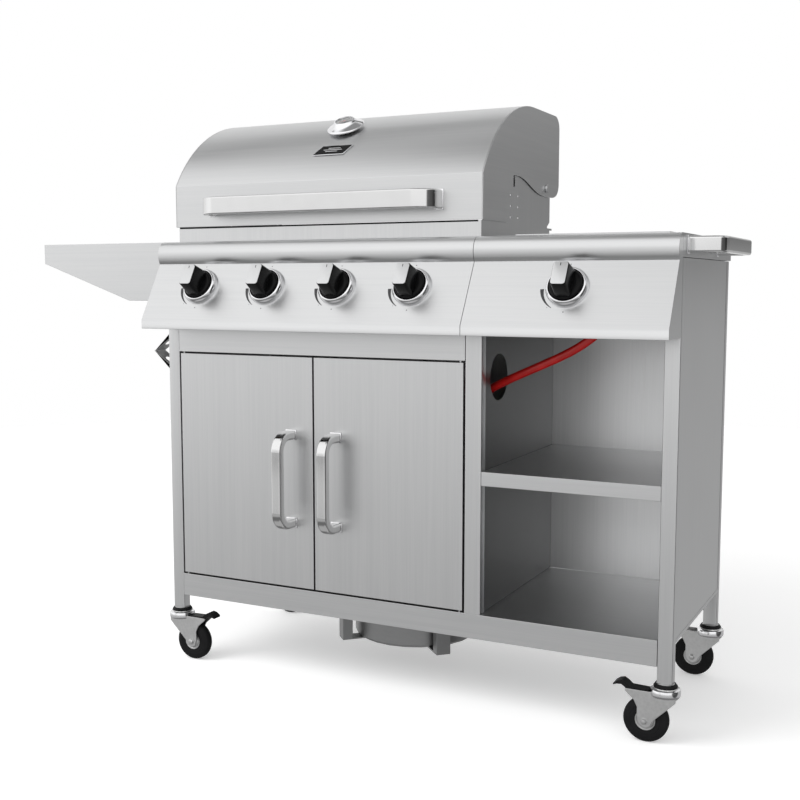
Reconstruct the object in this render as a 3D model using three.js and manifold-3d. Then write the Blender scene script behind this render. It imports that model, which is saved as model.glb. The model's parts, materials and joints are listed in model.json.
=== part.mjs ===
// A gas barbecue grill: a stainless cabinet on four swivel casters, with four main burners
// under a hinged lid, a side burner under a flush cover, two doors, an open bay, a bottle pan
// hung below the base and a red gas hose.
//
// Millimetres, +Z up. The design frame has x from the left posts' outer faces, y back from
// the posts' front faces and z up from the floor. The exported group is shifted so that its
// origin is the centre of the footprint, on the floor.
import * as THREE from "three";
import { mergeVertices } from "three/addons/utils/BufferGeometryUtils.js";
import Module from "manifold-3d";

const wasm = await Module();
wasm.setup();

// ---- Driving dimensions -------------------------------------------------------------

const GAP = 0.3; // between pieces that touch
const SHEET = 1.5; // folded sheet
const SHADOW_GAP = 1.2; // the dark line under the side table's skirt

const WIDTH = 1021; // over the posts
const DEPTH = 384;
const POST = { wide: 26, deep: 20, bottom: 106 };
const BASE = { bottom: 133, top: 178, sideLip: 6 };
const COUNTER = 845.5; // top of the shelf, the side table and the panel's roll
const SKIRT_BOTTOM = 807; // lower edge of the side table's skirt
const HEADER = { bottom: 630, top: 700 };

const DIVIDER = { left: 646.5, right: 678 }; // the post between the doors and the bay
const HOSE_HOLE = { y: 83, z: 597, radius: 42 };
const BAY_SHELF = { top: 436, lip: 25 };

const DOOR = { left: 29.5, split: 336, right: 643, bottom: 181.5, top: 626.5, gap: 3.4 };
const DOOR_PIVOT = { inset: 6.5, y: 4, radius: 2 };
const DOOR_HANDLE = {
  offset: 49,
  bottom: 300,
  top: 487,
  reach: 58,
  wide: 21,
  thick: 17,
  bend: 36,
};

const PANEL = {
  split: 672, // joint between the main and the side section
  lipBottom: 678,
  lipTop: 695,
  lipY: -82,
  faceTopY: -22.5,
  faceTopZ: 802,
  rollFrontY: -27.5,
  rollBackY: -6,
  deckBackY: 40.4, // the main section's deck runs back to the firebox
};
const KNOB_X = { 1: 117.5, 2: 267, 3: 416.5, 4: 566, side: 846.5 };
const KNOB_RISE = 0.59; // how far up the slanted face the knobs sit, as a share of its length
const KNOB = { baseRadius: 28, grip: 42, gripWide: 26, height: 50 };

const FIREBOX = { left: 4, right: 652, front: 41.4, back: 401, bottom: 700, top: 876 };
const EAR = { left: 0.5, right: 658 }; // outer faces of the firebox's side plates
const HINGE = { y: 369.5, z: 953.6 };
const GRATE = { bottom: 858.4, top: 866, front: 47, back: 378 };
const PIPE = { y: -10, z: 708, radius: 8.5, from: 60, to: 930 }; // the gas manifold
const BURNER = { z: 752, radius: 13, front: 20, back: 372 };

const LID = { left: -7, right: 661, front: 41, back: 447, seam: 876.8 };
const LID_TOP = { z: 1103, centreY: 295, radius: 295, backY: 418, corner: 26 };
const LID_HANDLE = { left: 77, right: 584, z: 914, tall: 34, reach: 52, thick: 12, bend: 42 };
const GAUGE = { x: 327, y: 149, radius: 37.5 };

const TABLE = { left: 660.5, front: 0.3, back: 400 }; // the right side table
const WELL = { x0: 740, x1: 956, y0: 84, y1: 320, floor: 795 }; // the side burner's opening
const COVER = { x0: 712, x1: 984, y0: 66, bottom: 847.6, top: 850.6, hingeY: 342, hingeZ: 848.2 };
const SHELF_LEFT = { outer: -323, breakX: -99, low: 730, edge: 806 };
const TOWEL_BAR = { out: 1083, front: 27, back: 275, bottom: 814, top: 841, thick: 13, bend: 24 };
const HOOK = { front: 19, back: 52, z: 628, half: 35, reach: 52, flange: 12 };

const BOTTLE = { x: 456, y: 199, radius: 123, bottom: 66, hole: 118 };
const WHEEL = { radius: 38.5, half: 9.5, trail: 31, bore: 4.6 };
const PEDAL = { pinX: 30, pinZ: 88, tip: 87, half: 11.2 };

const HOSE_RADIUS = 7.5;
// From the manifold's nipple through the divider's hole, down and along the cabinet's floor.
const HOSE_ROUTE = [
  [914, 14, 722],
  [900, 19, 706],
  [883, 26, 689],
  [861, 34, 671],
  [834, 43, 654],
  [803, 52, 638.5],
  [770, 61, 624],
  [736, 69, 609.5],
  [705, 76, 596],
  [678, 82, 583.5],
  [658, 86, 572.5],
  [640, 88.5, 559],
  [626, 90, 541],
  [617.5, 92, 519],
  [614, 94.5, 494],
  [613, 99, 460],
  [612, 104, 410],
  [612, 109, 360],
  [612, 114, 310],
  [612, 118, 266],
  [612, 124.1, 235.4],
  [612, 141.4, 209.4],
  [612, 167.4, 192.1],
  [612, 198, 186],
  [612, 228, 186],
  [612, 256, 186],
];

// ---- Finishes -----------------------------------------------------------------------

function finish(color, roughness, metalness) {
  return new THREE.MeshStandardMaterial({ color, roughness, metalness });
}

const BRUSHED = finish(0xc9cacb, 0.34, 1);
const POLISHED = finish(0xdcdddf, 0.12, 1);
const CHROME = finish(0xe4e5e8, 0.06, 1);
const ZINC = finish(0xb9bcc0, 0.4, 1);
const BLACK = finish(0x141415, 0.3, 0);
const TYRE = finish(0x17181a, 0.65, 0);
const IRON = finish(0x2b2b2c, 0.6, 0.3);
const BRASS = finish(0xb08d4c, 0.35, 1);
const HOSE_RED = finish(0xaa1e19, 0.45, 0);

// ---- Tools --------------------------------------------------------------------------

/** A closed geometry as a solid that can be joined and cut; its faces end up pointing out. */
function solid(geometry) {
  geometry.deleteAttribute("normal");
  geometry.deleteAttribute("uv");
  const merged = mergeVertices(geometry, 1e-4);
  const corners = merged.index.array;
  const kept = [];
  for (let i = 0; i < corners.length; i += 3) {
    const [a, b, c] = [corners[i], corners[i + 1], corners[i + 2]];
    if (a !== b && b !== c && c !== a) kept.push(a, b, c);
  }
  const vertProperties = new Float32Array(merged.attributes.position.array);
  const build = (order) =>
    new wasm.Manifold(
      new wasm.Mesh({ numProp: 3, vertProperties, triVerts: new Uint32Array(order) }),
    );
  const made = build(kept);
  return made.volume() > 0 ? made : build(kept.reverse());
}

/** A plain block between two corners, turned about the vertical axis if asked. */
function block(x0, x1, y0, y1, z0, z1, turn = 0) {
  const box = new THREE.BoxGeometry(x1 - x0, y1 - y0, z1 - z0);
  box.translate((x0 + x1) / 2, (y0 + y1) / 2, (z0 + z1) / 2);
  return solid(box.rotateZ(turn));
}

/** A round bar between two points. */
function rod(from, to, radius, sides = 16) {
  const start = new THREE.Vector3(...from);
  const axis = new THREE.Vector3(...to).sub(start);
  const length = axis.length();
  const bar = new THREE.CylinderGeometry(radius, radius, length, sides);
  bar.translate(0, length / 2, 0);
  const up = new THREE.Vector3(0, 1, 0);
  bar.applyQuaternion(new THREE.Quaternion().setFromUnitVectors(up, axis.normalize()));
  bar.translate(start.x, start.y, start.z);
  return solid(bar);
}

/** A round piece about Z, from a profile of [radius, z] points that closes on itself. */
function turned(profile, sides = 24) {
  const points = profile.map(([r, z]) => new THREE.Vector2(r, z));
  if (profile.every(([r]) => r > 0)) points.push(points[0].clone());
  const round = new THREE.LatheGeometry(points, sides);
  round.rotateX(Math.PI / 2);
  return solid(round);
}

/** A shape from a list of corner points. */
function outline(points) {
  return new THREE.Shape(points.map(([a, b]) => new THREE.Vector2(a, b)));
}

/** A rectangle with round corners. */
function roundedRect(a0, a1, b0, b1, radius) {
  const shape = new THREE.Shape();
  const quarter = Math.PI / 2;
  shape.absarc(a1 - radius, b0 + radius, radius, -quarter, 0);
  shape.absarc(a1 - radius, b1 - radius, radius, 0, quarter);
  shape.absarc(a0 + radius, b1 - radius, radius, quarter, 2 * quarter);
  shape.absarc(a0 + radius, b0 + radius, radius, 2 * quarter, 3 * quarter);
  shape.closePath();
  return shape;
}

/**
 * A shape pulled straight along an axis. Along x the shape is drawn in (y, z), along y it is
 * drawn in (x, z) and along z it is drawn in (x, y).
 */
function prism(axis, shape, from, to, curveSegments = 6) {
  const options = { depth: to - from, bevelEnabled: false, curveSegments };
  const pulled = new THREE.ExtrudeGeometry(shape, options);
  const [x, y, z] = [
    new THREE.Vector3(1, 0, 0),
    new THREE.Vector3(0, 1, 0),
    new THREE.Vector3(0, 0, 1),
  ];
  if (axis === "x") {
    pulled.applyMatrix4(new THREE.Matrix4().makeBasis(y, z, x));
    pulled.translate(from, 0, 0);
  } else if (axis === "y") {
    pulled.applyMatrix4(new THREE.Matrix4().makeBasis(x, z, y.negate()));
    pulled.translate(0, to, 0);
  } else {
    pulled.translate(0, 0, from);
  }
  return solid(pulled);
}

/** Several solids joined into one. */
function joined(...pieces) {
  return pieces.reduce((whole, piece) => whole.add(piece));
}

/** A solid as a named mesh. */
function node(name, shape, material) {
  const made = shape.getMesh();
  const geometry = new THREE.BufferGeometry();
  geometry.setAttribute("position", new THREE.BufferAttribute(made.vertProperties, 3));
  geometry.setIndex(new THREE.BufferAttribute(made.triVerts, 1));
  geometry.computeVertexNormals();
  const mesh = new THREE.Mesh(geometry, material);
  mesh.name = name;
  return mesh;
}

// ---- Cabinet ------------------------------------------------------------------------

/** A rectangular tube, open at both ends. */
function post(x0, y0, bottom, top, wide = POST.wide) {
  const outer = block(x0, x0 + wide, y0, y0 + POST.deep, bottom, top);
  const [x1, y1] = [x0 + wide - SHEET, y0 + POST.deep - SHEET];
  return outer.subtract(block(x0 + SHEET, x1, y0 + SHEET, y1, bottom - 1, top + 1));
}

function frame() {
  const right = WIDTH - POST.wide;
  const back = DEPTH - POST.deep;
  const low = POST.bottom;
  const high = SKIRT_BOTTOM - SHADOW_GAP;
  const divider = DIVIDER.right - DIVIDER.left;
  return [
    node("leg_front_left", post(0, 0, low, 800), BRUSHED),
    node("leg_front_right", post(right, 0, low, high), BRUSHED),
    node("leg_rear_left", post(0, back, low, 655), BRUSHED),
    node("leg_rear_right", post(right, back, low, high), BRUSHED),
    node("divider_post", post(DIVIDER.left, 0, BASE.top + GAP, 800, divider), BRUSHED),
  ];
}

/** The cabinet's floor: a tray with its rims down, deep in front and behind and shallow at the sides. */
function base() {
  const { bottom, top, sideLip } = BASE;
  const [cutX, cutY] = [POST.wide + GAP, POST.deep + GAP];
  let tray = block(0, WIDTH, 0, DEPTH, bottom, top);
  for (const [x0, x1] of [[-1, cutX], [WIDTH - cutX, WIDTH + 1]])
    for (const [y0, y1] of [[-1, cutY], [DEPTH - cutY, DEPTH + 1]])
      tray = tray.subtract(block(x0, x1, y0, y1, bottom - 1, top + 1));
  for (const [x0, x1] of [[-1, cutX], [WIDTH - cutX, WIDTH + 1]])
    tray = tray.subtract(block(x0, x1, -1, DEPTH + 1, bottom - 1, top - sideLip));
  const wall = SHEET;
  const [x, y] = [cutX + wall, cutY + wall];
  const under = top - wall;
  return tray
    .subtract(block(x, WIDTH - x, wall, DEPTH - wall, bottom - 1, under))
    .subtract(block(wall, WIDTH - wall, y, DEPTH - y, bottom - 1, under))
    .subtract(rod([BOTTLE.x, BOTTLE.y, under - 1], [BOTTLE.x, BOTTLE.y, top + 1], BOTTLE.hole, 40))
    .subtract(pivotHole(DOOR.left + DOOR_PIVOT.inset, top - 5, top + 5))
    .subtract(pivotHole(DOOR.right - DOOR_PIVOT.inset, top - 5, top + 5));
}

function pivotHole(x, from, to) {
  const y = DOOR_PIVOT.y;
  return rod([x, y, from], [x, y, to], DOOR_PIVOT.radius + 0.5, 12);
}

/** The strip over the doors, a channel open at the back. */
function doorHeader() {
  const [x0, x1] = [POST.wide + GAP, DIVIDER.left - GAP];
  const { bottom, top } = HEADER;
  return block(x0, x1, 0, POST.deep, bottom, top)
    .subtract(block(x0 + SHEET, x1 - SHEET, SHEET, POST.deep + 1, bottom + SHEET, top - SHEET))
    .subtract(pivotHole(DOOR.left + DOOR_PIVOT.inset, bottom - 1, bottom + 5))
    .subtract(pivotHole(DOOR.right - DOOR_PIVOT.inset, bottom - 1, bottom + 5));
}

function walls() {
  const [front, back] = [POST.deep + GAP, DEPTH - POST.deep - GAP];
  const low = BASE.top + GAP;
  const high = SKIRT_BOTTOM - SHADOW_GAP;
  const [left, right] = [POST.wide + GAP, WIDTH - POST.wide - GAP];
  const rear = DEPTH - 2;
  const { y, z, radius } = HOSE_HOLE;
  const divider = block(676, 676 + SHEET, front, rear - SHEET - GAP, low, high).subtract(
    rod([670, y, z], [680, y, z], radius, 40),
  );
  const backOutline = outline([
    [left, low],
    [right, low],
    [right, high],
    [664, high],
    [664, 650],
    [left, 650],
  ]);
  return [
    node("side_panel_left", block(0.5, 2, front, back, low, high), BRUSHED),
    node("side_panel_right", block(WIDTH - 2, WIDTH - 0.5, front, back, low, high), BRUSHED),
    node("divider_panel", divider, BRUSHED),
    node("back_panel", prism("y", backOutline, rear - SHEET, rear), BRUSHED),
    node("bay_shelf", bayShelf(rear - SHEET - GAP), BRUSHED),
    node("door_header", doorHeader(), BRUSHED),
  ];
}

/** The bay's middle shelf: notched round the two right posts, with a folded front lip. */
function bayShelf(back) {
  const { top, lip } = BAY_SHELF;
  const left = DIVIDER.right + GAP;
  const inner = WIDTH - POST.wide - GAP;
  const outer = WIDTH - 2 - GAP;
  const [notchFront, notchBack] = [POST.deep + GAP, DEPTH - POST.deep - GAP];
  const plate = outline([
    [left, GAP],
    [inner, GAP],
    [inner, notchFront],
    [outer, notchFront],
    [outer, notchBack],
    [inner, notchBack],
    [inner, back],
    [left, back],
  ]);
  return joined(
    prism("z", plate, top - SHEET, top),
    block(left, inner, GAP, GAP + SHEET, top - lip, top),
    block(left, inner, GAP, GAP + 12, top - lip, top - lip + SHEET),
  );
}

// ---- Doors --------------------------------------------------------------------------

/** One pan door with a pivot pin at each end of its outer edge. */
function door(x0, x1, pinX) {
  const { bottom, top } = DOOR;
  const pan = block(x0, x1, 0, POST.deep, bottom, top).subtract(
    block(x0 + SHEET, x1 - SHEET, SHEET, POST.deep + 1, bottom + SHEET, top - SHEET),
  );
  const y = DOOR_PIVOT.y;
  const pin = (from, to) => rod([pinX, y, from], [pinX, y, to], DOOR_PIVOT.radius, 12);
  return joined(pan, pin(bottom - 6, bottom + SHEET), pin(top - SHEET, top + 6));
}

/** A bar handle bent back to the door at both ends. */
function doorHandle(x) {
  const { bottom, top, reach, wide, thick, bend } = DOOR_HANDLE;
  const bow = prism("x", roundedRect(-reach, 40, bottom, top, bend), x - wide / 2, x + wide / 2);
  const hollow = roundedRect(thick - reach, 60, bottom + thick, top - thick, bend - thick);
  return bow
    .subtract(prism("x", hollow, x - wide, x + wide))
    .subtract(block(x - wide, x + wide, -GAP, 80, bottom - 1, top + 1));
}

function doors() {
  const { left, right, split, gap } = DOOR;
  const { inset } = DOOR_PIVOT;
  return [
    node("door_left", door(left, split - gap / 2, left + inset), BRUSHED),
    node("door_right", door(split + gap / 2, right, right - inset), BRUSHED),
    node("door_handle_left", doorHandle(split - DOOR_HANDLE.offset), POLISHED),
    node("door_handle_right", doorHandle(split + DOOR_HANDLE.offset), POLISHED),
  ];
}

// ---- Shelves and trim ---------------------------------------------------------------

/** The left shelf: a flat top with a rim, its front and back aprons tapering outwards. */
function leftShelf() {
  const { outer, breakX, low, edge } = SHELF_LEFT;
  const inner = -GAP - 0.2;
  const apron = outline([
    [outer, edge],
    [breakX, low],
    [inner, low],
    [inner, COUNTER],
    [outer, COUNTER],
  ]);
  return joined(
    block(outer, inner, 0, DEPTH, COUNTER - SHEET, COUNTER),
    prism("y", apron, 0, SHEET),
    prism("y", apron, DEPTH - SHEET, DEPTH),
    block(outer, outer + SHEET, 0, DEPTH, edge, COUNTER),
    block(inner - SHEET, inner, 0, DEPTH, low, COUNTER),
  );
}

/** The bent bracket on the left side: two slopes with a round hole each, and two flanges. */
function toolHook() {
  const { front, back, z, half, reach, flange } = HOOK;
  const face = -GAP;
  const under = face - SHEET;
  const bend = outline([
    [face, z + half + flange],
    [under, z + half + flange],
    [under, z + half],
    [-reach, z],
    [under, z - half],
    [under, z - half - flange],
    [face, z - half - flange],
    [face, z - half],
    [2.2 - reach, z],
    [face, z + half],
  ]);
  let hook = prism("y", bend, front, back);
  const [middle, y] = [-reach / 2, (front + back) / 2];
  for (const side of [-1, 1]) {
    const centre = [middle, y, z + (side * half) / 2];
    const outwards = [middle - 15, y, centre[2] + side * 20];
    const inwards = [middle + 15, y, centre[2] - side * 20];
    hook = hook.subtract(rod(inwards, outwards, 9, 16));
  }
  return hook;
}

/** A flat bar bent round a finger gap at the right-hand end of the side table. */
function towelBar() {
  const { out, front, back, bottom, top, thick, bend } = TOWEL_BAR;
  const bow = prism("z", roundedRect(WIDTH - 60, out, front, back, bend), bottom, top);
  const hollow = roundedRect(
    WIDTH - 80,
    out - thick,
    front + thick,
    back - thick,
    bend - thick,
  );
  return bow
    .subtract(prism("z", hollow, bottom - 1, top + 1))
    .subtract(block(WIDTH - 100, WIDTH + GAP, front - 1, back + 1, bottom - 1, top + 1));
}

/** The right side table: a plate with its rim down and a well for the side burner. */
function sideTable() {
  const step = PANEL.deckBackY + 1;
  const rim = (inset) =>
    outline([
      [PANEL.split + GAP + inset, TABLE.front + inset],
      [WIDTH - inset, TABLE.front + inset],
      [WIDTH - inset, TABLE.back - inset],
      [TABLE.left + inset, TABLE.back - inset],
      [TABLE.left + inset, step + inset],
      [PANEL.split + GAP + inset, step + inset],
    ]);
  return prism("z", rim(0), SKIRT_BOTTOM, COUNTER)
    .subtract(prism("z", rim(SHEET), SKIRT_BOTTOM - 1, COUNTER - SHEET))
    .subtract(block(WELL.x0, WELL.x1, WELL.y0, WELL.y1, SKIRT_BOTTOM, COUNTER + 1));
}

/** The side burner: a drop-in bowl with a burner head and a cross-shaped pan support. */
function sideBurner() {
  const { x0, x1, y0, y1, floor } = WELL;
  const [x, y] = [(x0 + x1) / 2, (y0 + y1) / 2];
  const [low, high] = [COUNTER + GAP, COUNTER + 1.3];
  const bowl = joined(
    block(x0 - 10, x1 + 10, y0 - 10, y1 + 10, low, high),
    block(x0 + 1, x1 - 1, y0 + 1, y1 - 1, floor, high),
  ).subtract(block(x0 + 2.5, x1 - 2.5, y0 + 2.5, y1 - 2.5, floor + SHEET, high + 1));
  const arm = 4;
  const support = joined(
    block(x0 + 2, x1 - 2, y - arm / 2, y + arm / 2, 832, 844),
    block(x - arm / 2, x + arm / 2, y0 + 2, y1 - 2, 832, 844),
  );
  return joined(bowl, rod([x, y, floor], [x, y, 833], 36, 24), support);
}

/** The side burner's flush cover, with its hinge barrel along the back. */
function sideBurnerCover() {
  const { x0, x1, y0, bottom, top, hingeY, hingeZ } = COVER;
  return joined(
    block(x0, x1, y0, hingeY - 1, bottom, top),
    rod([x0 + 60, hingeY, hingeZ], [x1 - 60, hingeY, hingeZ], 2.2, 10),
  );
}

// ---- Control panel ------------------------------------------------------------------

/** The panel's folded section in (y, z), moved inwards by a sheet's thickness if asked. */
function panelSection(inset, backY) {
  const { lipY, lipBottom, lipTop, faceTopY, faceTopZ, rollFrontY, rollBackY } = PANEL;
  const rollMiddle = 821;
  const lipDrop = 0.3 * inset; // how far the sheet's inner corner sits below its outer one
  const shape = new THREE.Shape();
  shape.moveTo(lipY + inset, lipBottom + inset);
  shape.lineTo(lipY + inset, lipTop - lipDrop);
  shape.lineTo(faceTopY + inset, faceTopZ);
  shape.quadraticCurveTo(rollFrontY + inset, 808, rollFrontY + inset, rollMiddle);
  shape.absellipse(
    rollBackY,
    rollMiddle,
    rollBackY - rollFrontY - inset,
    COUNTER - rollMiddle - inset,
    Math.PI,
    Math.PI / 2,
    true,
  );
  shape.lineTo(backY, COUNTER - inset);
  return shape;
}

/** One section of the panel: a bent front with closed ends, open behind and below. */
function panel(x0, x1, deckBackY, knobs) {
  const rear = -0.4; // just in front of the posts
  const whole = panelSection(0, deckBackY);
  if (deckBackY > rear) {
    whole.lineTo(deckBackY, 818);
    whole.lineTo(rear, 803);
  }
  whole.lineTo(rear, PANEL.lipBottom);
  const hollow = panelSection(SHEET, deckBackY > rear ? deckBackY - SHEET : 20);
  if (deckBackY > rear) {
    hollow.lineTo(deckBackY - SHEET, 810);
  }
  hollow.lineTo(20, 810);
  hollow.lineTo(20, PANEL.lipBottom - 5);
  hollow.lineTo(PANEL.lipY + 14, PANEL.lipBottom - 5);
  hollow.lineTo(PANEL.lipY + 14, PANEL.lipBottom + SHEET);
  let made = prism("x", whole, x0, x1).subtract(prism("x", hollow, x0 + SHEET, x1 - SHEET));
  const { split } = PANEL;
  made = made.subtract(rod([split - 5, PIPE.y, PIPE.z], [split + 5, PIPE.y, PIPE.z], 12, 12));
  const { face, normal } = knobSeat();
  for (const x of knobs) {
    const inside = [x, face.y - 8 * normal.y, face.z - 8 * normal.z];
    const outside = [x, face.y + 8 * normal.y, face.z + 8 * normal.z];
    made = made.subtract(rod(inside, outside, 6, 16));
  }
  return made;
}

/** Where the knobs sit on the slanted face, and its outward normal, in the (y, z) plane. */
function knobSeat() {
  const bottom = new THREE.Vector3(0, PANEL.lipY, PANEL.lipTop);
  const top = new THREE.Vector3(0, PANEL.faceTopY, PANEL.faceTopZ);
  const face = bottom.clone().lerp(top, KNOB_RISE);
  const up = top.sub(bottom).normalize();
  return { face, normal: new THREE.Vector3(0, -up.z, up.y) };
}

/** A knob and its valve stem, in a group whose +Z is the face's outward normal. */
function knob(key, x) {
  const { baseRadius, grip, gripWide, height } = KNOB;
  const body = joined(
    rod([0, 0, 5], [0, 0, 16], baseRadius, 20),
    prism("z", roundedRect(-gripWide / 2, gripWide / 2, -grip / 2, grip / 2, 6), 15.5, height, 1),
  ).subtract(rod([0, 0, 4], [0, 0, 14.5], 4, 10));
  const stem = rod([0, 0, -32], [0, 0, 14], 3.5, 10);
  const { face, normal } = knobSeat();
  const group = new THREE.Group();
  group.position.set(x, face.y, face.z);
  group.rotation.x = Math.atan2(-normal.y, normal.z);
  group.add(node(`knob_${key}`, body, BLACK), node(`valve_stem_${key}`, stem, BRASS));
  return group;
}

/** The gas pipe behind the panel, with a valve body and outlet for each knob. */
function manifold() {
  const { face, normal } = knobSeat();
  const { y, z, radius, from, to } = PIPE;
  const pieces = [rod([from, y, z], [to, y, z], radius, 12)];
  for (const x of Object.values(KNOB_X)) {
    const at = (deep) => [x, face.y - deep * normal.y, face.z - deep * normal.z];
    pieces.push(rod(at(37), at(62), 12, 10));
    pieces.push(block(x - 10, x + 10, y - 6, y + 16, z, z + 30));
    pieces.push(rod([x, 0, 734], [x, 17, 744], 5, 8));
  }
  const [nipple, next] = HOSE_ROUTE;
  const start = new THREE.Vector3(...nipple);
  const outwards = start.clone().sub(new THREE.Vector3(...next)).normalize();
  const seat = start.clone().addScaledVector(outwards, GAP);
  const root = start.clone().addScaledVector(outwards, 22);
  pieces.push(rod(root.toArray(), seat.toArray(), 6, 10));
  pieces.push(block(to - 9, to + 13, y - 11, y + 20, z - 11, z + 42));
  return joined(...pieces);
}

function controls() {
  const { split, deckBackY } = PANEL;
  const { side, ...main } = KNOB_X;
  return [
    node("control_panel_main", panel(0, split - GAP, deckBackY, Object.values(main)), BRUSHED),
    node("control_panel_side", panel(split + GAP, WIDTH, -0.4, [side]), BRUSHED),
    node("gas_manifold", manifold(), ZINC),
    ...Object.entries(KNOB_X).map(([key, x]) => knob(key, x)),
  ];
}

// ---- Firebox ------------------------------------------------------------------------

/** One upright side plate: level with the seam in front, arched over the spit notch behind. */
function ear(x0) {
  const shape = new THREE.Shape();
  shape.moveTo(48, FIREBOX.top - 30);
  shape.lineTo(48, FIREBOX.top + 20);
  shape.quadraticCurveTo(100, 985, 214, 975);
  shape.bezierCurveTo(262, 968, 290, 962, 401, 957);
  shape.lineTo(401, 888);
  shape.lineTo(387, FIREBOX.top + 3);
  shape.lineTo(387, FIREBOX.top - 30);
  let plate = prism("x", shape, x0, x0 + SHEET, 5);
  const through = (y, z, radius) => rod([x0 - 2, y, z], [x0 + 4, y, z], radius, 10);
  for (const y of [182.5, 221])
    for (const z of [888, 908.3, 928.6]) plate = plate.subtract(through(y, z, 2.6));
  return plate.subtract(block(x0 - 2, x0 + 4, 196, 206, 945, 990));
}

/** The tub that holds the burners and grates, with its side plates and tray rails. */
function firebox() {
  const { left, right, front, back, bottom, top } = FIREBOX;
  const floor = { front: 90, back: 345 };
  const shoulder = 765;
  const section = (inset) =>
    outline([
      [front + inset, shoulder],
      [floor.front, bottom + inset],
      [floor.back, bottom + inset],
      [back - inset, shoulder + 5],
      [back - inset, top + (inset ? 1 : 0)],
      [front + inset, top + (inset ? 1 : 0)],
    ]);
  const upper = COUNTER + 1;
  let tub = joined(
    prism("x", section(0), left, right),
    block(EAR.left, EAR.right, front, back, upper, top),
  ).subtract(prism("x", section(SHEET), left + SHEET, right - SHEET));
  for (const x of Object.values(KNOB_X).slice(0, 4))
    tub = tub.subtract(rod([x, front - 5, BURNER.z], [x, front + 40, BURNER.z], 16, 16));
  tub = tub.subtract(block(150, 500, 180, 260, bottom - 2, bottom + 3));
  const ledges = [
    block(left + 1, right - 1, front + 1, front + 12, GRATE.bottom - 2.4, GRATE.bottom - GAP),
    block(left + 1, right - 1, back - 27, back - 1, GRATE.bottom - 2.4, GRATE.bottom - GAP),
    block(EAR.left, EAR.right, back - 1, back + 14, top - 4, top),
  ];
  const rails = [52, 602].map((x) => {
    const inwards = x < 300 ? 10 : -10;
    return joined(
      block(x, x + SHEET, 92, 343, 655, bottom + 1),
      block(Math.min(x, x + inwards), Math.max(x + SHEET, x + inwards), 92, 343, 655, 656.5),
    );
  });
  const bolt = (from, head0, head1) =>
    joined(
      rod([from, HINGE.y, HINGE.z], [head0, HINGE.y, HINGE.z], 4, 14),
      rod([head0, HINGE.y, HINGE.z], [head1, HINGE.y, HINGE.z], 8, 14),
    );
  return joined(
    tub,
    ...ledges,
    ...rails,
    ear(EAR.left),
    ear(EAR.right - SHEET),
    bolt(EAR.left + SHEET, LID.left - 0.5, LID.left - 5),
    bolt(EAR.right - SHEET, LID.right + 0.5, LID.right + 5),
  );
}

/** Four tube burners, joined at the back by the channel that carries the flame across. */
function burners() {
  const { z, radius, front, back } = BURNER;
  const xs = Object.values(KNOB_X).slice(0, 4);
  const tubes = xs.map((x) => rod([x, front, z], [x, back, z], radius, 14));
  return joined(...tubes, block(xs[0], xs[3], back - 30, back - 10, z + 2, z + 8));
}

/** A grate of bars along y on two cross bars. */
function grate(x0, x1) {
  const { bottom, top, front, back } = GRATE;
  const bar = 8;
  const slots = 10;
  const pitch = (x1 - x0 - bar) / slots;
  let made = block(x0, x1, front, back, bottom, top);
  for (let i = 0; i < slots; i += 1) {
    const x = x0 + bar + i * pitch;
    made = made.subtract(block(x, x + pitch - bar, front + bar, back - bar, bottom - 1, top + 1));
  }
  return made;
}

/** The wire rack over the back of the grates, on four legs. */
function warmingRack() {
  const [x0, x1, y0, y1] = [20, 636, 262, 388];
  const [low, high] = [974, 978];
  const pieces = [x0, x1].map((x) => block(x - 2, x + 2, y0, y1, low, high));
  for (let y = y0 + 8; y < y1 - 8; y += 24)
    pieces.push(block(x0, x1, y - 1.5, y + 1.5, low + 0.5, high - 0.5));
  for (const x of [x0, x1])
    pieces.push(block(x - 3, x + 3, y1 - 7, y1 - 1, GRATE.bottom, high - 1));
  return joined(...pieces);
}

/** The open tray that slides out at the back, with a turned-down pull. */
function greaseTray() {
  const [x0, x1, y0, y1, z0, z1] = [56, 598, 96, 386, 657, 688];
  return joined(
    block(x0, x1, y0, y1, z0, z1).subtract(
      block(x0 + SHEET, x1 - SHEET, y0 + SHEET, y1 - SHEET, z0 + SHEET, z1 + 1),
    ),
    block(x0 + 180, x1 - 180, y1 - 1, y1 + 14, z1 - SHEET, z1),
  );
}

// ---- Lid ----------------------------------------------------------------------------

/** Adds the lid's outside, from the front seam over the top to the back, to a shape. */
function drawLid(shape, inset) {
  const { front, back, seam } = LID;
  const { z, centreY, radius, backY, corner } = LID_TOP;
  const r = radius - inset;
  const crease = Math.PI - Math.acos((centreY - front - inset) / r);
  shape.moveTo(front + inset, seam);
  shape.lineTo(front + inset, z - radius + r * Math.sin(crease));
  shape.absarc(centreY, z - radius, r, crease, Math.PI / 2, true);
  shape.lineTo(backY, z - inset);
  shape.absarc(back - corner, z - corner, corner - inset, Math.PI / 2, 0, true);
}

function lidSkin() {
  const edge = 960;
  const outer = new THREE.Shape();
  drawLid(outer, 0);
  outer.lineTo(LID.back, edge);
  const inner = new THREE.Shape();
  drawLid(inner, SHEET);
  inner.lineTo(LID.back - SHEET, edge - 20);
  inner.lineTo(LID.front + SHEET, LID.seam - 20);
  const [x0, x1] = [LID.left + SHEET + GAP, LID.right - SHEET - GAP];
  const shell = prism("x", outer, x0, x1, 12).subtract(prism("x", inner, x0 - 1, x1 + 1, 12));
  const { at } = gaugeSeat();
  return shell.subtract(rod(at(-12), at(6), 7, 16));
}

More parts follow.
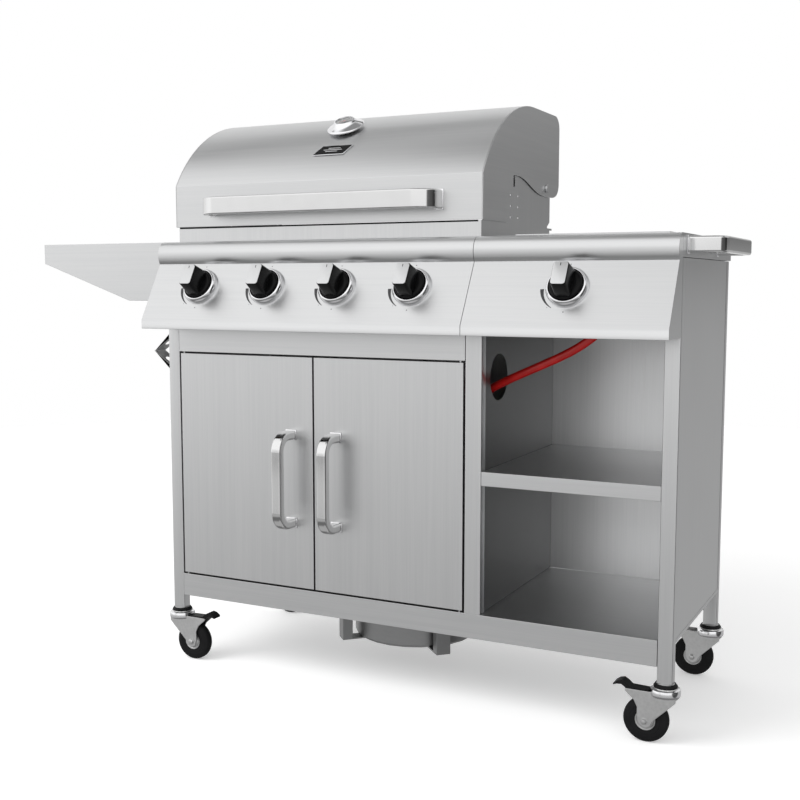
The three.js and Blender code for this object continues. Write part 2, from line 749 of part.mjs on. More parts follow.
/** The lid's end plate: arched over the spit notch and rounded about the hinge bolt. */
function lidEnd(x0) {
  const shape = new THREE.Shape();
  drawLid(shape, 0);
  const lobe = 16;
  shape.lineTo(LID.back, 965);
  shape.quadraticCurveTo(LID.back - 4, HINGE.z - lobe, 400, HINGE.z - lobe);
  shape.lineTo(362, HINGE.z - lobe);
  shape.bezierCurveTo(300, HINGE.z - lobe, 262, 966, 214, 966);
  shape.lineTo(196, 966);
  shape.quadraticCurveTo(166, 962, 164, 900);
  shape.lineTo(164, LID.seam);
  const plate = prism("x", shape, x0, x0 + SHEET, 12);
  return plate.subtract(rod([x0 - 1, HINGE.y, HINGE.z], [x0 + 3, HINGE.y, HINGE.z], 4.6, 14));
}

function lidHandle() {
  const { left, right, z, tall, reach, thick, bend } = LID_HANDLE;
  const [low, high] = [z - tall / 2, z + tall / 2];
  const out = LID.front - reach;
  const hollow = roundedRect(left + thick, right - thick, out + thick, 120, bend - thick);
  return prism("z", roundedRect(left, right, out, 100, bend), low, high)
    .subtract(prism("z", hollow, low - 1, high + 1))
    .subtract(block(left - 1, right + 1, LID.front - GAP, 130, low - 1, high + 1));
}

/** Where the gauge sits on the lid's arc, and a point so far out along its axis. */
function gaugeSeat() {
  const { z, centreY, radius } = LID_TOP;
  const out = new THREE.Vector3(0, GAUGE.y - centreY, 0);
  out.z = Math.sqrt(radius ** 2 - out.y ** 2);
  out.normalize();
  const at = (far) => [
    GAUGE.x,
    centreY + out.y * (radius + far),
    z - radius + out.z * (radius + far),
  ];
  return { out, at };
}

/** The round dial housing and the probe that reaches through the lid. */
function gauge() {
  const { radius } = GAUGE;
  const housing = turned([
    [0, 2],
    [22, 2],
    [24, 3.5],
    [radius - 2, 3.5],
    [radius, 5],
    [radius - 3, 8.5],
    [26, 12],
    [20.5, 17],
    [19, 19],
    [17, 19],
    [16, 16.5],
    [0, 16.5],
  ], 20);
  const whole = joined(housing, rod([0, 0, -45], [0, 0, 3], 4, 10));
  const mesh = node("temperature_gauge", whole, CHROME);
  const { out, at } = gaugeSeat();
  mesh.position.set(...at(0));
  mesh.rotation.x = Math.atan2(-out.y, out.z);
  return mesh;
}

function lid() {
  const group = new THREE.Group();
  group.add(
    node("lid_skin", lidSkin(), BRUSHED),
    node("lid_end_left", lidEnd(LID.left), BRUSHED),
    node("lid_end_right", lidEnd(LID.right - SHEET), BRUSHED),
    node("lid_handle", lidHandle(), POLISHED),
    gauge(),
  );
  return group;
}

// ---- Bottle pan, hose and regulator -------------------------------------------------

function bottlePan() {
  const { radius, bottom, x, y } = BOTTLE;
  const high = BASE.top - SHEET - GAP;
  const pan = turned([
    [0, bottom],
    [radius - 5, bottom],
    [radius, bottom + 5],
    [radius, high - SHEET],
    [radius + 8, high - SHEET],
    [radius + 8, high],
    [radius - SHEET, high],
    [radius - SHEET, bottom + 5.6],
    [radius - 5.6, bottom + SHEET],
    [0, bottom + SHEET],
  ]);
  const mesh = node("bottle_pan", pan, BRUSHED);
  mesh.position.set(x, y, 0);
  return mesh;
}

/** Two crossed straps under the pan, their channel legs rising to the base. */
function bottleStrap() {
  const { bottom, x, y } = BOTTLE;
  const [reach, half, flange] = [158, 14, 20];
  const [low, high] = [bottom - 3.5, BASE.top - SHEET - GAP];
  const [inner, outer] = [reach - flange, reach - SHEET];
  const side = half - SHEET;
  const arms = [45, 135, 225, 315].map((degrees) => {
    const turn = THREE.MathUtils.degToRad(degrees);
    return joined(
      block(0, reach, -half, half, low, bottom - GAP, turn),
      block(inner, reach, -half, half, low, high, turn).subtract(
        block(inner - 1, outer, -side, side, bottom, high + 1, turn),
      ),
    );
  });
  const mesh = node("bottle_strap", joined(...arms), BRUSHED);
  mesh.position.set(x, y, 0);
  return mesh;
}

function hose() {
  const curve = new THREE.CatmullRomCurve3(HOSE_ROUTE.map((p) => new THREE.Vector3(...p)));
  const section = new THREE.Shape();
  section.absarc(0, 0, HOSE_RADIUS, 0, 2 * Math.PI);
  const options = { extrudePath: curve, steps: 34, curveSegments: 4, bevelEnabled: false };
  return node("gas_hose", solid(new THREE.ExtrudeGeometry(section, options)), HOSE_RED);
}

/** The low-pressure regulator, lying on the cabinet's floor at the end of the hose. */
function regulator() {
  const floor = BASE.top + GAP;
  const [x, end, z] = HOSE_ROUTE.at(-1);
  const reach = 44; // from the hose's end to the body's axis
  const inlet = z - floor;
  const body = turned([
    [0, 0],
    [24, 0],
    [28, 4],
    [28, 14],
    [31, 17],
    [26, 22],
    [18, 28],
    [0, 28],
  ], 16);
  const whole = joined(
    body,
    rod([0, GAP - reach, inlet], [0, 0, inlet], 6, 12),
    rod([0, 0, inlet + 3], [-58, 0, inlet + 3], 9, 14),
    rod([-38, 0, inlet + 7], [-52, 0, inlet + 7], 14, 6),
  );
  const mesh = node("regulator", whole, ZINC);
  mesh.position.set(x, end + reach, floor);
  return mesh;
}

// ---- Casters ------------------------------------------------------------------------

/** The wheel, a rubber tyre on a hub, turned so that its axle lies along Y. */
function wheel(key) {
  const { radius, half, bore } = WHEEL;
  const mesh = node(`wheel_${key}`, turned([
    [bore, -half - 1],
    [14, -half - 1],
    [16, 3 - half],
    [27, -half],
    [radius - 4, -half],
    [radius, 4 - half],
    [radius, half - 4],
    [radius - 4, half],
    [27, half],
    [16, half - 3],
    [14, half + 1],
    [bore, half + 1],
  ], 20), TYRE);
  mesh.rotation.x = Math.PI / 2;
  return mesh;
}

/** The swivel head and fork. The swivel axis is local Z and the wheel trails along +X. */
function fork() {
  const { radius, half, trail, bore } = WHEEL;
  const top = POST.bottom - GAP;
  const cheekInner = half + 2.2;
  const cheekOuter = cheekInner + 2.5;
  const cheek = outline([
    [-20, 90],
    [-20, 77],
    [trail - 13, radius + 1],
    [trail - 9, radius - 8],
    [trail, radius - 12],
    [trail + 9, radius - 8],
    [trail + 13, radius + 5],
    [trail + 13, 61],
    [trail + 19, 73],
    [trail + 34, 86],
    [trail + 34, 90],
  ]);
  return joined(
    turned([
      [0, 84],
      [22, 84],
      [23, 95],
      [15, top],
      [0, top],
    ], 16),
    block(-20, 23, -cheekOuter, cheekOuter, 84, 90),
    prism("y", cheek, cheekInner, cheekOuter),
    prism("y", cheek, -cheekOuter, -cheekInner),
    rod([trail, -cheekOuter - 3, radius], [trail, cheekOuter + 3, radius], bore - 0.6, 12),
  );
}

/** The brake pedal, hinged across the front of the swivel head. */
function brakePedal() {
  const { pinX, pinZ, tip, half } = PEDAL;
  const side = outline([
    [pinX - 4, pinZ - 3],
    [tip - 27, pinZ - 3],
    [tip - 20, pinZ + 3],
    [tip - 15, pinZ + 6.5],
    [tip - 7, pinZ + 6],
    [tip, pinZ + 3.5],
    [tip - 1, pinZ + 7],
    [tip - 8, pinZ + 12],
    [tip - 16, pinZ + 14],
    [tip - 23, pinZ + 10],
    [tip - 30, pinZ + 4],
    [pinX - 4, pinZ + 3],
  ]);
  return prism("y", side, -half, half);
}

/** One caster under a post, its wheel trailing inwards, with a pedal on the front pair. */
function caster(key, x, y, turn, braked) {
  const group = new THREE.Group();
  group.position.set(x, y, 0);
  group.rotation.z = turn;
  const rolling = new THREE.Group();
  rolling.position.set(WHEEL.trail, 0, WHEEL.radius);
  rolling.add(wheel(key));
  group.add(node(`caster_fork_${key}`, fork(), ZINC), rolling);
  if (braked) group.add(node(`brake_pedal_${key}`, brakePedal(), BLACK));
  return group;
}

function casters() {
  const [left, right] = [POST.wide / 2, WIDTH - POST.wide / 2];
  const [front, rear] = [POST.deep / 2, DEPTH - POST.deep / 2];
  return [
    caster("front_left", left, front, 0, true),
    caster("front_right", right, front, Math.PI, true),
    caster("rear_left", left, rear, 0, false),
    caster("rear_right", right, rear, Math.PI, false),
  ];
}

// ---- The whole grill ----------------------------------------------------------------

const grill = new THREE.Group();
grill.add(
  ...frame(),
  node("base", base(), BRUSHED),
  ...walls(),
  ...doors(),
  node("side_shelf_left", leftShelf(), BRUSHED),
  node("tool_hook", toolHook(), BRUSHED),
  node("towel_bar", towelBar(), POLISHED),
  node("side_table", sideTable(), BRUSHED),
  node("side_burner", sideBurner(), BRUSHED),
  node("side_burner_cover", sideBurnerCover(), BRUSHED),
  ...controls(),
  node("firebox", firebox(), BRUSHED),
  node("main_burners", burners(), BRUSHED),
  node("cooking_grate_left", grate(8, 326), IRON),
  node("cooking_grate_right", grate(330, 648), IRON),
  node("warming_rack", warmingRack(), CHROME),
  node("grease_tray", greaseTray(), ZINC),
  lid(),
  bottlePan(),
  bottleStrap(),
  hose(),
  regulator(),
  ...casters(),
);

// The footprint's centre becomes the origin.
const footprint = new THREE.Box3().setFromObject(grill, true).getCenter(new THREE.Vector3());
grill.position.set(-footprint.x, -footprint.y, 0);

const part = new THREE.Group();
part.name = "gas_grill";
part.add(grill);

export default part;
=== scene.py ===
"""A stainless gas barbecue grill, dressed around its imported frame.

The frame settles every size and joint. Each class below takes one sub-assembly: it rounds
the edges of the pressed sheet, adds the trim that the frame leaves out and gives every piece
its finish. Blender lengths are metres. A Drawing takes the maker's millimetres, and sizes
held as dataclass fields are in those millimetres too.
"""

import json
import logging
import math
from dataclasses import dataclass, field
from enum import Enum
from typing import Optional, Sequence, Union

import bmesh
import bpy
from mathutils import Matrix, Vector

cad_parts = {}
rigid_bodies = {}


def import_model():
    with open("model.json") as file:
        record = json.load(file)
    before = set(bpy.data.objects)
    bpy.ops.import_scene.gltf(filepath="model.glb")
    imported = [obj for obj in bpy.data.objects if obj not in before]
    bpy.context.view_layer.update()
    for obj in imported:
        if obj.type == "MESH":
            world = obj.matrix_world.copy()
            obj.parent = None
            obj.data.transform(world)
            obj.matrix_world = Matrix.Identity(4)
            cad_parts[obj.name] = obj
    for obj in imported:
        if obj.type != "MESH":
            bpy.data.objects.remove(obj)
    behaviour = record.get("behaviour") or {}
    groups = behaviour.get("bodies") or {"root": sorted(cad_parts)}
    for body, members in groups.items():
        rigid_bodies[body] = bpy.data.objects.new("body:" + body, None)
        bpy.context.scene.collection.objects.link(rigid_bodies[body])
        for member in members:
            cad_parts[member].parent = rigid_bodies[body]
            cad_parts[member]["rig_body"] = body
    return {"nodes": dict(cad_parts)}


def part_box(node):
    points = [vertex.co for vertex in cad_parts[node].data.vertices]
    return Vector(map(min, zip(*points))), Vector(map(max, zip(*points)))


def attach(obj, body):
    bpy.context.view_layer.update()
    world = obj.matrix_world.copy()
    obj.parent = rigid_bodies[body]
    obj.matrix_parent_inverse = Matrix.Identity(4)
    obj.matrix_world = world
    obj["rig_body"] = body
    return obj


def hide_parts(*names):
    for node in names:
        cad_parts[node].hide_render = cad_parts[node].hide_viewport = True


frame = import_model()

LOG = logging.getLogger("grill")
MM = 0.001
ROOT = "root"

# Sizes in the drawing's millimetres that more than one sub-assembly goes by.
CABINET_WIDTH = 1021
CABINET_DEPTH = 384
KNOB_X = {"1": 117.5, "2": 267, "3": 416.5, "4": 566, "side": 846.5}
PRINT_THICK = 0.12

Point = tuple[float, float]
Colour = tuple[float, float, float, float]


# ---- The maker's drawing --------------------------------------------------------------


@dataclass(frozen=True)
class Drawing:
    """The drawing frame: x from the left posts, y back from the posts' fronts, z up."""

    corner: Vector

    @classmethod
    def of_frame(cls) -> "Drawing":
        """The drawing whose corner is the front left post's outer foot."""
        low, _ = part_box("leg_front_left")
        return cls(Vector((low.x, low.y, 0.0)))

    def at(self, x: float, y: float, z: float) -> Vector:
        """The point of the model that lies at a point of the drawing."""
        return self.corner + Vector((x, y, z)) * MM

    def seat(self, x: float, y: float, z: float, tilt: float = 0.0, turn: float = 0.0) -> Matrix:
        """Where a piece sits.

        Args:
            x: Its place across the drawing.
            y: Its place towards the back.
            z: Its height.
            tilt: How far its own +Z leans towards the front, about X, in radians.
            turn: How far it is turned about the upright, in radians.

        Returns:
            The matrix that carries a piece made in millimetres to its place in metres.
        """
        place = Matrix.Translation(self.at(x, y, z))
        turned = Matrix.Rotation(turn, 4, "Z") @ Matrix.Rotation(tilt, 4, "X")
        return place @ turned @ Matrix.Scale(MM, 4)


# ---- Shader maths ---------------------------------------------------------------------


class Wire:
    """A shader socket on which Python arithmetic adds Math nodes."""

    def __init__(self, shader: "Shader", socket: Optional[bpy.types.NodeSocket]) -> None:
        """Wraps one output socket of a shader."""
        self.shader = shader
        self.socket = socket

    def _maths(self, operation: str, first: "Input", second: "Input") -> "Wire":
        """One Math node on two values."""
        return self.shader.node("ShaderNodeMath", {"operation": operation}, {0: first, 1: second})

    def __add__(self, other: "Input") -> "Wire":
        """The sum."""
        return self._maths("ADD", self, other)

    def __radd__(self, other: "Input") -> "Wire":
        """The sum, with a number on the left."""
        return self._maths("ADD", other, self)

    def __sub__(self, other: "Input") -> "Wire":
        """The difference."""
        return self._maths("SUBTRACT", self, other)

    def __rsub__(self, other: "Input") -> "Wire":
        """The difference, with a number on the left."""
        return self._maths("SUBTRACT", other, self)

    def __mul__(self, other: "Input") -> "Wire":
        """The product."""
        return self._maths("MULTIPLY", self, other)

    def __rmul__(self, other: "Input") -> "Wire":
        """The product, with a number on the left."""
        return self._maths("MULTIPLY", other, self)

    def eased(self, start: float, end: float) -> "Wire":
        """0 up to start and 1 from end on, with a smooth rise between.

        Args:
            start: The value at which the rise starts.
            end: The value at which it ends.

        Returns:
            The eased value, from 0 to 1.
        """
        return self.shader.node(
            "ShaderNodeMapRange",
            {"interpolation_type": "SMOOTHSTEP"},
            {"Value": self, "From Min": start, "From Max": end},
        )

    def towards(self, other: "Input", share: "Input") -> "Wire":
        """This value, moved by a share of the way to another."""
        settings = {"data_type": "FLOAT"}
        return self.shader.node("ShaderNodeMix", settings, {0: share, 2: self, 3: other})


Input = Union[Wire, float, Sequence[float]]


class Shader:
    """A node tree under construction."""

    def __init__(self, tree: bpy.types.NodeTree) -> None:
        """Starts on an emptied tree."""
        tree.nodes.clear()
        self.tree = tree

    def node(
        self,
        kind: str,
        settings: Optional[dict] = None,
        sockets: Optional[dict] = None,
        output: Union[int, str] = 0,
    ) -> Wire:
        """Adds a node.

        Args:
            kind: Its type.
            settings: Its own properties, which are set first.
            sockets: A value or a wire for each input that isn't left alone.
            output: Which output to hand back.

        Returns:
            That output.
        """
        made = self.tree.nodes.new(kind)
        for name, value in (settings or {}).items():
            setattr(made, name, value)
        for key, value in (sockets or {}).items():
            if isinstance(value, Wire):
                self.tree.links.new(value.socket, made.inputs[key])
            else:
                made.inputs[key].default_value = value
        return Wire(self, made.outputs[output] if made.outputs else None)

    def place(self, stretch: Sequence[float] = (1, 1, 1)) -> Wire:
        """Object coordinates, multiplied on each axis.

        Args:
            stretch: What each axis is multiplied by.

        Returns:
            The coordinates, for a texture's Vector.
        """
        where = self.node("ShaderNodeTexCoord", output="Object")
        settings = {"operation": "MULTIPLY"}
        return self.node("ShaderNodeVectorMath", settings, {0: where, 1: stretch})

    def noise(self, where: Wire, scale: float = 1.0, detail: float = 2.0) -> Wire:
        """Soft noise about 0.5."""
        sockets = {"Vector": where, "Scale": scale, "Detail": detail}
        return self.node("ShaderNodeTexNoise", None, sockets)

    def blend(self, share: Input, first: Colour, second: Colour) -> Wire:
        """A colour between two others."""
        settings = {"data_type": "RGBA"}
        return self.node("ShaderNodeMix", settings, {0: share, 6: first, 7: second}, output=2)

    def relief(self, height: Wire, depth: float, strength: float) -> Wire:
        """A normal that follows a height, for a relief so many metres deep."""
        sockets = {"Height": height, "Distance": depth, "Strength": strength}
        return self.node("ShaderNodeBump", None, sockets)

    def surface(self, sockets: dict) -> None:
        """Ends the tree in a Principled surface with these sockets."""
        body = self.node("ShaderNodeBsdfPrincipled", None, sockets)
        self.node("ShaderNodeOutputMaterial", None, {"Surface": body})


def grey(level: float, warmth: float = 0.0) -> Colour:
    """A grey, a little warm or, below 0, a little cool."""
    return (level * (1 + warmth), level, level * (1 - warmth), 1.0)


# ---- Finishes -------------------------------------------------------------------------


class Grain(Enum):
    """Which way a sheet was brushed: how fast its scratches change on each axis, per metre."""

    ALONG_X = (7, 620, 620)
    ALONG_Y = (620, 7, 620)
    ALONG_Z = (620, 620, 7)


@dataclass(frozen=True)
class Finish:
    """A finish of the grill. A piece with the same finish shares its material."""

    name: str

    def material(self) -> bpy.types.Material:
        """The finish's material, made the first time it is asked for.

        Returns:
            The material, which every piece of this finish shares.
        """
        found = bpy.data.materials.get(self.name)
        if found:
            return found
        made = bpy.data.materials.new(self.name)
        made.use_nodes = True
        self.paint(Shader(made.node_tree))
        return made

    def paint(self, shader: Shader) -> None:
        """Builds the finish's nodes."""
        raise NotImplementedError


@dataclass(frozen=True)
class BrushedSteel(Finish):
    """Stainless sheet with a brushed grain."""

    grain: Grain = Grain.ALONG_X
    tone: float = 0.63
    roughness: float = 0.33
    handling: float = 4.5  # how many patches of faint smudges lie in a metre

    def paint(self, shader: Shader) -> None:
        """Fine scratches over broader streaks, with a cloud of faint smudges.

        Args:
            shader: The material's node tree.
        """
        scratches = shader.noise(shader.place(self.grain.value), 1.0, 3.0)
        broad = [rate * 0.22 for rate in self.grain.value]
        streaks = shader.noise(shader.place(broad), 1.0, 2.0)
        smudges = shader.noise(shader.place(), self.handling, 3.0)
        grain = scratches * 0.55 + streaks * 0.45
        light = grey(self.tone * 1.025, -0.004)
        dark = grey(self.tone * 0.97, -0.008)
        shader.surface({
            "Base Color": shader.blend(grain.eased(0.3, 0.7), dark, light),
            "Metallic": 1.0,
            "Roughness": self.roughness + (grain - 0.5) * 0.12 + (smudges - 0.5) * 0.06,
            "Normal": shader.relief(grain, 0.0004, 0.035),
        })


@dataclass(frozen=True)
class PolishedSteel(Finish):
    """Bright polished bar or chrome, with the haze that hands leave."""

    tone: float = 0.68
    roughness: float = 0.1

    def paint(self, shader: Shader) -> None:
        """A bright metal whose gloss drifts a little.

        Args:
            shader: The material's node tree.
        """
        haze = shader.noise(shader.place(), 26.0, 4.0)
        polish = shader.noise(shader.place((900, 900, 60)), 1.0, 2.0)
        shader.surface({
            "Base Color": shader.blend(haze, grey(self.tone * 0.95), grey(self.tone * 1.04)),
            "Metallic": 1.0,
            "Roughness": self.roughness + (haze - 0.5) * 0.07 + (polish - 0.5) * 0.04,
            "Normal": shader.relief(haze, 0.0006, 0.03),
        })


@dataclass(frozen=True)
class Galvanised(Finish):
    """Zinc plate or a zinc casting: crystals under a dull bloom."""

    tone: float = 0.62
    roughness: float = 0.34
    crystals: float = 190.0
    bloom: float = 0.16

    def paint(self, shader: Shader) -> None:
        """Crystal facets that differ a little in tone and gloss.

        Args:
            shader: The material's node tree.
        """
        facets = shader.node(
            "ShaderNodeTexVoronoi", None, {"Vector": shader.place(), "Scale": self.crystals}
        )
        dust = shader.noise(shader.place(), 60.0, 4.0)
        mixed = facets * 0.5 + dust * 0.5
        shader.surface({
            "Base Color": shader.blend(mixed, grey(self.tone * 0.86), grey(self.tone * 1.1)),
            "Metallic": 1.0,
            "Roughness": self.roughness + (mixed - 0.4) * self.bloom,
            "Normal": shader.relief(dust, 0.0005, 0.1),
        })


@dataclass(frozen=True)
class Moulded(Finish):
    """Moulded plastic or rubber: one colour with a fine moulded texture."""

    colour: Colour = (0.012, 0.012, 0.013, 1.0)
    roughness: float = 0.26
    pebble: float = 1400.0  # bumps of the mould's texture in a metre
    depth: float = 0.00012
    bloom: float = 0.1
    sheen: float = 0.5  # how strongly the bare surface mirrors

    def paint(self, shader: Shader) -> None:
        """A fine texture, with a broad change of gloss and a faint dusting.

        Args:
            shader: The material's node tree.
        """
        pebbles = shader.noise(shader.place(), self.pebble, 2.0)
        dusting = shader.noise(shader.place(), 38.0, 4.0)
        paler = tuple(part * 1.5 + 0.001 for part in self.colour[:3]) + (1.0,)
        shader.surface({
            "Base Color": shader.blend(dusting.eased(0.35, 0.8), self.colour, paler),
            "Roughness": self.roughness + (dusting - 0.5) * self.bloom,
            "Specular IOR Level": self.sheen,
            "Normal": shader.relief(pebbles, self.depth, 0.25),
        })


@dataclass(frozen=True)
class Heated(Finish):
    """Steel or iron near the flames: a dark bake over the metal, with straw-brown blooms."""

    cold: Colour = (0.2, 0.19, 0.18, 1.0)
    baked: Colour = (0.09, 0.06, 0.04, 1.0)
    metallic: float = 0.85
    roughness: float = 0.42

    def paint(self, shader: Shader) -> None:
        """Bake marks in clouds over a slightly rough skin.

        Args:
            shader: The material's node tree.
        """
        bake = shader.noise(shader.place(), 14.0, 5.0)
        skin = shader.noise(shader.place(), 700.0, 3.0)
        shader.surface({
            "Base Color": shader.blend(bake.eased(0.35, 0.7), self.cold, self.baked),
            "Metallic": self.metallic,
            "Roughness": self.roughness + (bake - 0.5) * 0.25,
            "Normal": shader.relief(skin, 0.0003, 0.3),
        })


@dataclass(frozen=True)
class Brass(Finish):
    """Turned brass with its lathe marks and a slight tarnish."""

    def paint(self, shader: Shader) -> None:
        """Tarnish that dulls the yellow in patches.

        Args:
            shader: The material's node tree.
        """
        tarnish = shader.noise(shader.place(), 120.0, 4.0)
        bright = (0.72, 0.5, 0.2, 1.0)
        dull = (0.44, 0.3, 0.13, 1.0)
        shader.surface({
            "Base Color": shader.blend(tarnish, bright, dull),
            "Metallic": 1.0,
            "Roughness": 0.24 + tarnish * 0.16,
        })


@dataclass(frozen=True)
class ClearGlass(Finish):
    """The gauge's glass."""

    def paint(self, shader: Shader) -> None:
        """Clear glass with a trace of haze.

        Args:
            shader: The material's node tree.
        """
        haze = shader.noise(shader.place(), 90.0, 2.0)
        shader.surface({
            "Base Color": (1, 1, 1, 1),
            "Roughness": haze * 0.05,
            "Transmission Weight": 1.0,
            "IOR": 1.45,
        })


BRUSHED_ACROSS = BrushedSteel("steel_brushed_across", Grain.ALONG_X)
BRUSHED_UPRIGHT = BrushedSteel("steel_brushed_upright", Grain.ALONG_Z)
BRUSHED_BACK = BrushedSteel("steel_brushed_front_to_back", Grain.ALONG_Y)
# Painted shade: the divider's sheet gets a very dark tone that stands in for the shade inside the bay.
DIVIDER_SHADE_SHEET = BrushedSteel("divider_steel_darkened_as_shade", Grain.ALONG_Z, tone=0.21, roughness=0.4)
# Painted shade: the pan's sheet is darkened to stand in for the shade under the base.
PAN_SHADE_STEEL = BrushedSteel("pan_steel_darkened_as_shade", Grain.ALONG_X, tone=0.3, roughness=0.42)
POLISHED = PolishedSteel("steel_polished")
CHROME = PolishedSteel("chrome", tone=0.78, roughness=0.07)
ZINC = Galvanised("zinc_plate")
CAST_ZINC = Galvanised("zinc_casting", tone=0.5, roughness=0.46, crystals=420.0, bloom=0.1)
GLOSS_BLACK = Moulded("black_plastic", (0.0035, 0.0035, 0.0038, 1.0), 0.22, sheen=0.1)
MATT_BLACK = Moulded("black_nylon", (0.005, 0.005, 0.0055, 1.0), 0.5, 900.0, sheen=0.15)
TYRE_RUBBER = Moulded(
    "tyre_rubber", (0.0045, 0.0045, 0.005, 1.0), 0.7, 1100.0, 0.0003, 0.15, sheen=0.18
)
HOSE_RUBBER = Moulded("hose_rubber", (0.3, 0.006, 0.005, 1.0), 0.3, 1300.0, 0.0002, sheen=0.4)
PRINT_INK = Moulded("printed_ink", (0.02, 0.02, 0.022, 1.0), 0.45)
PALE_INK = Moulded("pale_ink", (0.55, 0.55, 0.53, 1.0), 0.5)
NEEDLE_RED = Moulded("needle_enamel", (0.45, 0.02, 0.015, 1.0), 0.35)
DIAL_ENAMEL = Moulded("dial_enamel", (0.05, 0.052, 0.055, 1.0), 0.4)
ENAMELLED_IRON = Heated("enamelled_iron", (0.02, 0.02, 0.021, 1.0), (0.035, 0.03, 0.027, 1.0), 0.0, 0.36)
BURNER_STEEL = Heated("burner_steel")
BRASS = Brass("turned_brass")
GLASS = ClearGlass("gauge_glass")


# ---- Shapes and pieces ----------------------------------------------------------------


def chain(shape: bmesh.types.BMesh, points: Sequence[Vector]) -> list:
    """Adds a line of vertices joined by edges, and hands back both.

    Args:
        shape: The shape that they join.
        points: Where the vertices go, in order.

    Returns:
        The vertices, then the edges.
    """
    corners = [shape.verts.new(point) for point in points]
    joins = [shape.edges.new(pair) for pair in zip(corners, corners[1:])]
    return corners + joins


def turned(profile: Sequence[Point], steps: int = 48) -> bmesh.types.BMesh:
    """A lathe shape.

    Args:
        profile: (radius, height) points from one end on the axis to the other, or a
            closed ring that ends where it starts.
        steps: How many facets go round.

    Returns:
        The closed shape, turned about Z.
    """
    shape = bmesh.new()
    line = chain(shape, [Vector((radius, 0, height)) for radius, height in profile])
    bmesh.ops.spin(
        shape, geom=line, cent=(0, 0, 0), axis=(0, 0, 1), angle=math.tau, steps=steps,
        use_merge=True,
    )
    bmesh.ops.remove_doubles(shape, verts=shape.verts, dist=1e-4)
    bmesh.ops.recalc_face_normals(shape, faces=shape.faces)
    return shape


def oblong(half_wide: float, half_long: float, corner: float) -> list[Point]:
    """An oblong with rounded corners, anticlockwise about the origin.

    Args:
        half_wide: Half its size in x.
        half_long: Half its size in y.
        corner: The radius of its corners.

    Returns:
        Its outline, as (x, y) points.
    """
    steps = 5
    points = []
    for quarter, (side, end) in enumerate(((1, 1), (-1, 1), (-1, -1), (1, -1))):
        for step in range(steps + 1):
            turn = math.pi / 2 * (quarter + step / steps)
            x = side * (half_wide - corner) + corner * math.cos(turn)
            y = end * (half_long - corner) + corner * math.sin(turn)
            points.append((x, y))
    return points


def slab(outline: Sequence[Point], low: float, high: float, edge: float = 0.0) -> bmesh.types.BMesh:
    """A flat plate.

    Args:
        outline: Its corners in (x, y), anticlockwise.
        low: Its underside.
        high: Its top.
        edge: How far its edges are rounded.

    Returns:
        The closed plate.
    """
    shape = bmesh.new()
    face = shape.faces.new([shape.verts.new((x, y, low)) for x, y in outline])
    rise = bmesh.ops.extrude_face_region(shape, geom=[face])["geom"]
    tops = [item for item in rise if isinstance(item, bmesh.types.BMVert)]
    bmesh.ops.translate(shape, verts=tops, vec=(0, 0, high - low))
    bmesh.ops.recalc_face_normals(shape, faces=shape.faces)
    rounded(shape, edge)
    return shape


def brick(size: Sequence[float], centre: Sequence[float], edge: float = 0.0) -> bmesh.types.BMesh:
    """A block of a size about a centre, with its edges rounded.

    Args:
        size: Its size on each axis.
        centre: Its middle.
        edge: How far its edges are rounded.

    Returns:
        The closed block.
    """
    shape = bmesh.new()
    bmesh.ops.create_cube(shape, size=1.0)
    bmesh.ops.scale(shape, verts=shape.verts, vec=size)
    bmesh.ops.translate(shape, verts=shape.verts, vec=centre)
    rounded(shape, edge)
    return shape


def rounded(shape: bmesh.types.BMesh, edge: float, segments: int = 3) -> None:
    """Rounds every sharp edge of a shape, where edge is over 0.

    Args:
        shape: The shape.
        edge: The radius; 0 leaves the shape alone.
        segments: How many facets go round an edge.
    """
    if edge <= 0:
        return
    sharp = [line for line in shape.edges if line.calc_face_angle(0.0) > math.radians(25)]
    bmesh.ops.bevel(
        shape, geom=sharp, offset=edge, affect="EDGES", segments=segments, profile=0.5,
        material=-1, clamp_overlap=True,
    )


def joined(*shapes: bmesh.types.BMesh) -> bmesh.types.BMesh:
    """Several shapes as one.

    Args:
        shapes: The shapes. All but the first are used up.

    Returns:
        The first, which now holds them all.
    """
    whole, *others = shapes
    for other in others:
        carrier = bpy.data.meshes.new("carrier")
        other.to_mesh(carrier)
        whole.from_mesh(carrier)
        bpy.data.meshes.remove(carrier)
        other.free()
    return whole


@dataclass(frozen=True)
class Piece:
    """How a piece is fitted: its finish, the body that it rides on and a material slot name, which is not
    used.
    """

    finish: Finish
    body: str
    slot: str
    crease: float = 32.0  # edges sharper than this, in degrees, stay sharp

    def fit(
        self, name: str, shape: bmesh.types.BMesh, seat: Optional[Matrix] = None
    ) -> bpy.types.Object:
        """Makes the piece.

        Args:
            name: Its name.
            shape: Its shape, which is used up.
            seat: Where it sits; a shape already in its place has none.

        Returns:
            The finished piece.
        """
        if seat is not None:
            bmesh.ops.transform(shape, matrix=seat, verts=shape.verts)
        mesh = bpy.data.meshes.new(name)
        shape.to_mesh(mesh)
        shape.free()
        mesh.polygons.foreach_set("use_smooth", [True] * len(mesh.polygons))
        mesh.set_sharp_from_angle(angle=math.radians(self.crease))
        piece = bpy.data.objects.new(name, mesh)
        bpy.context.scene.collection.objects.link(piece)
        mesh.materials.append(self.finish.material())
        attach(piece, self.body)
        return piece


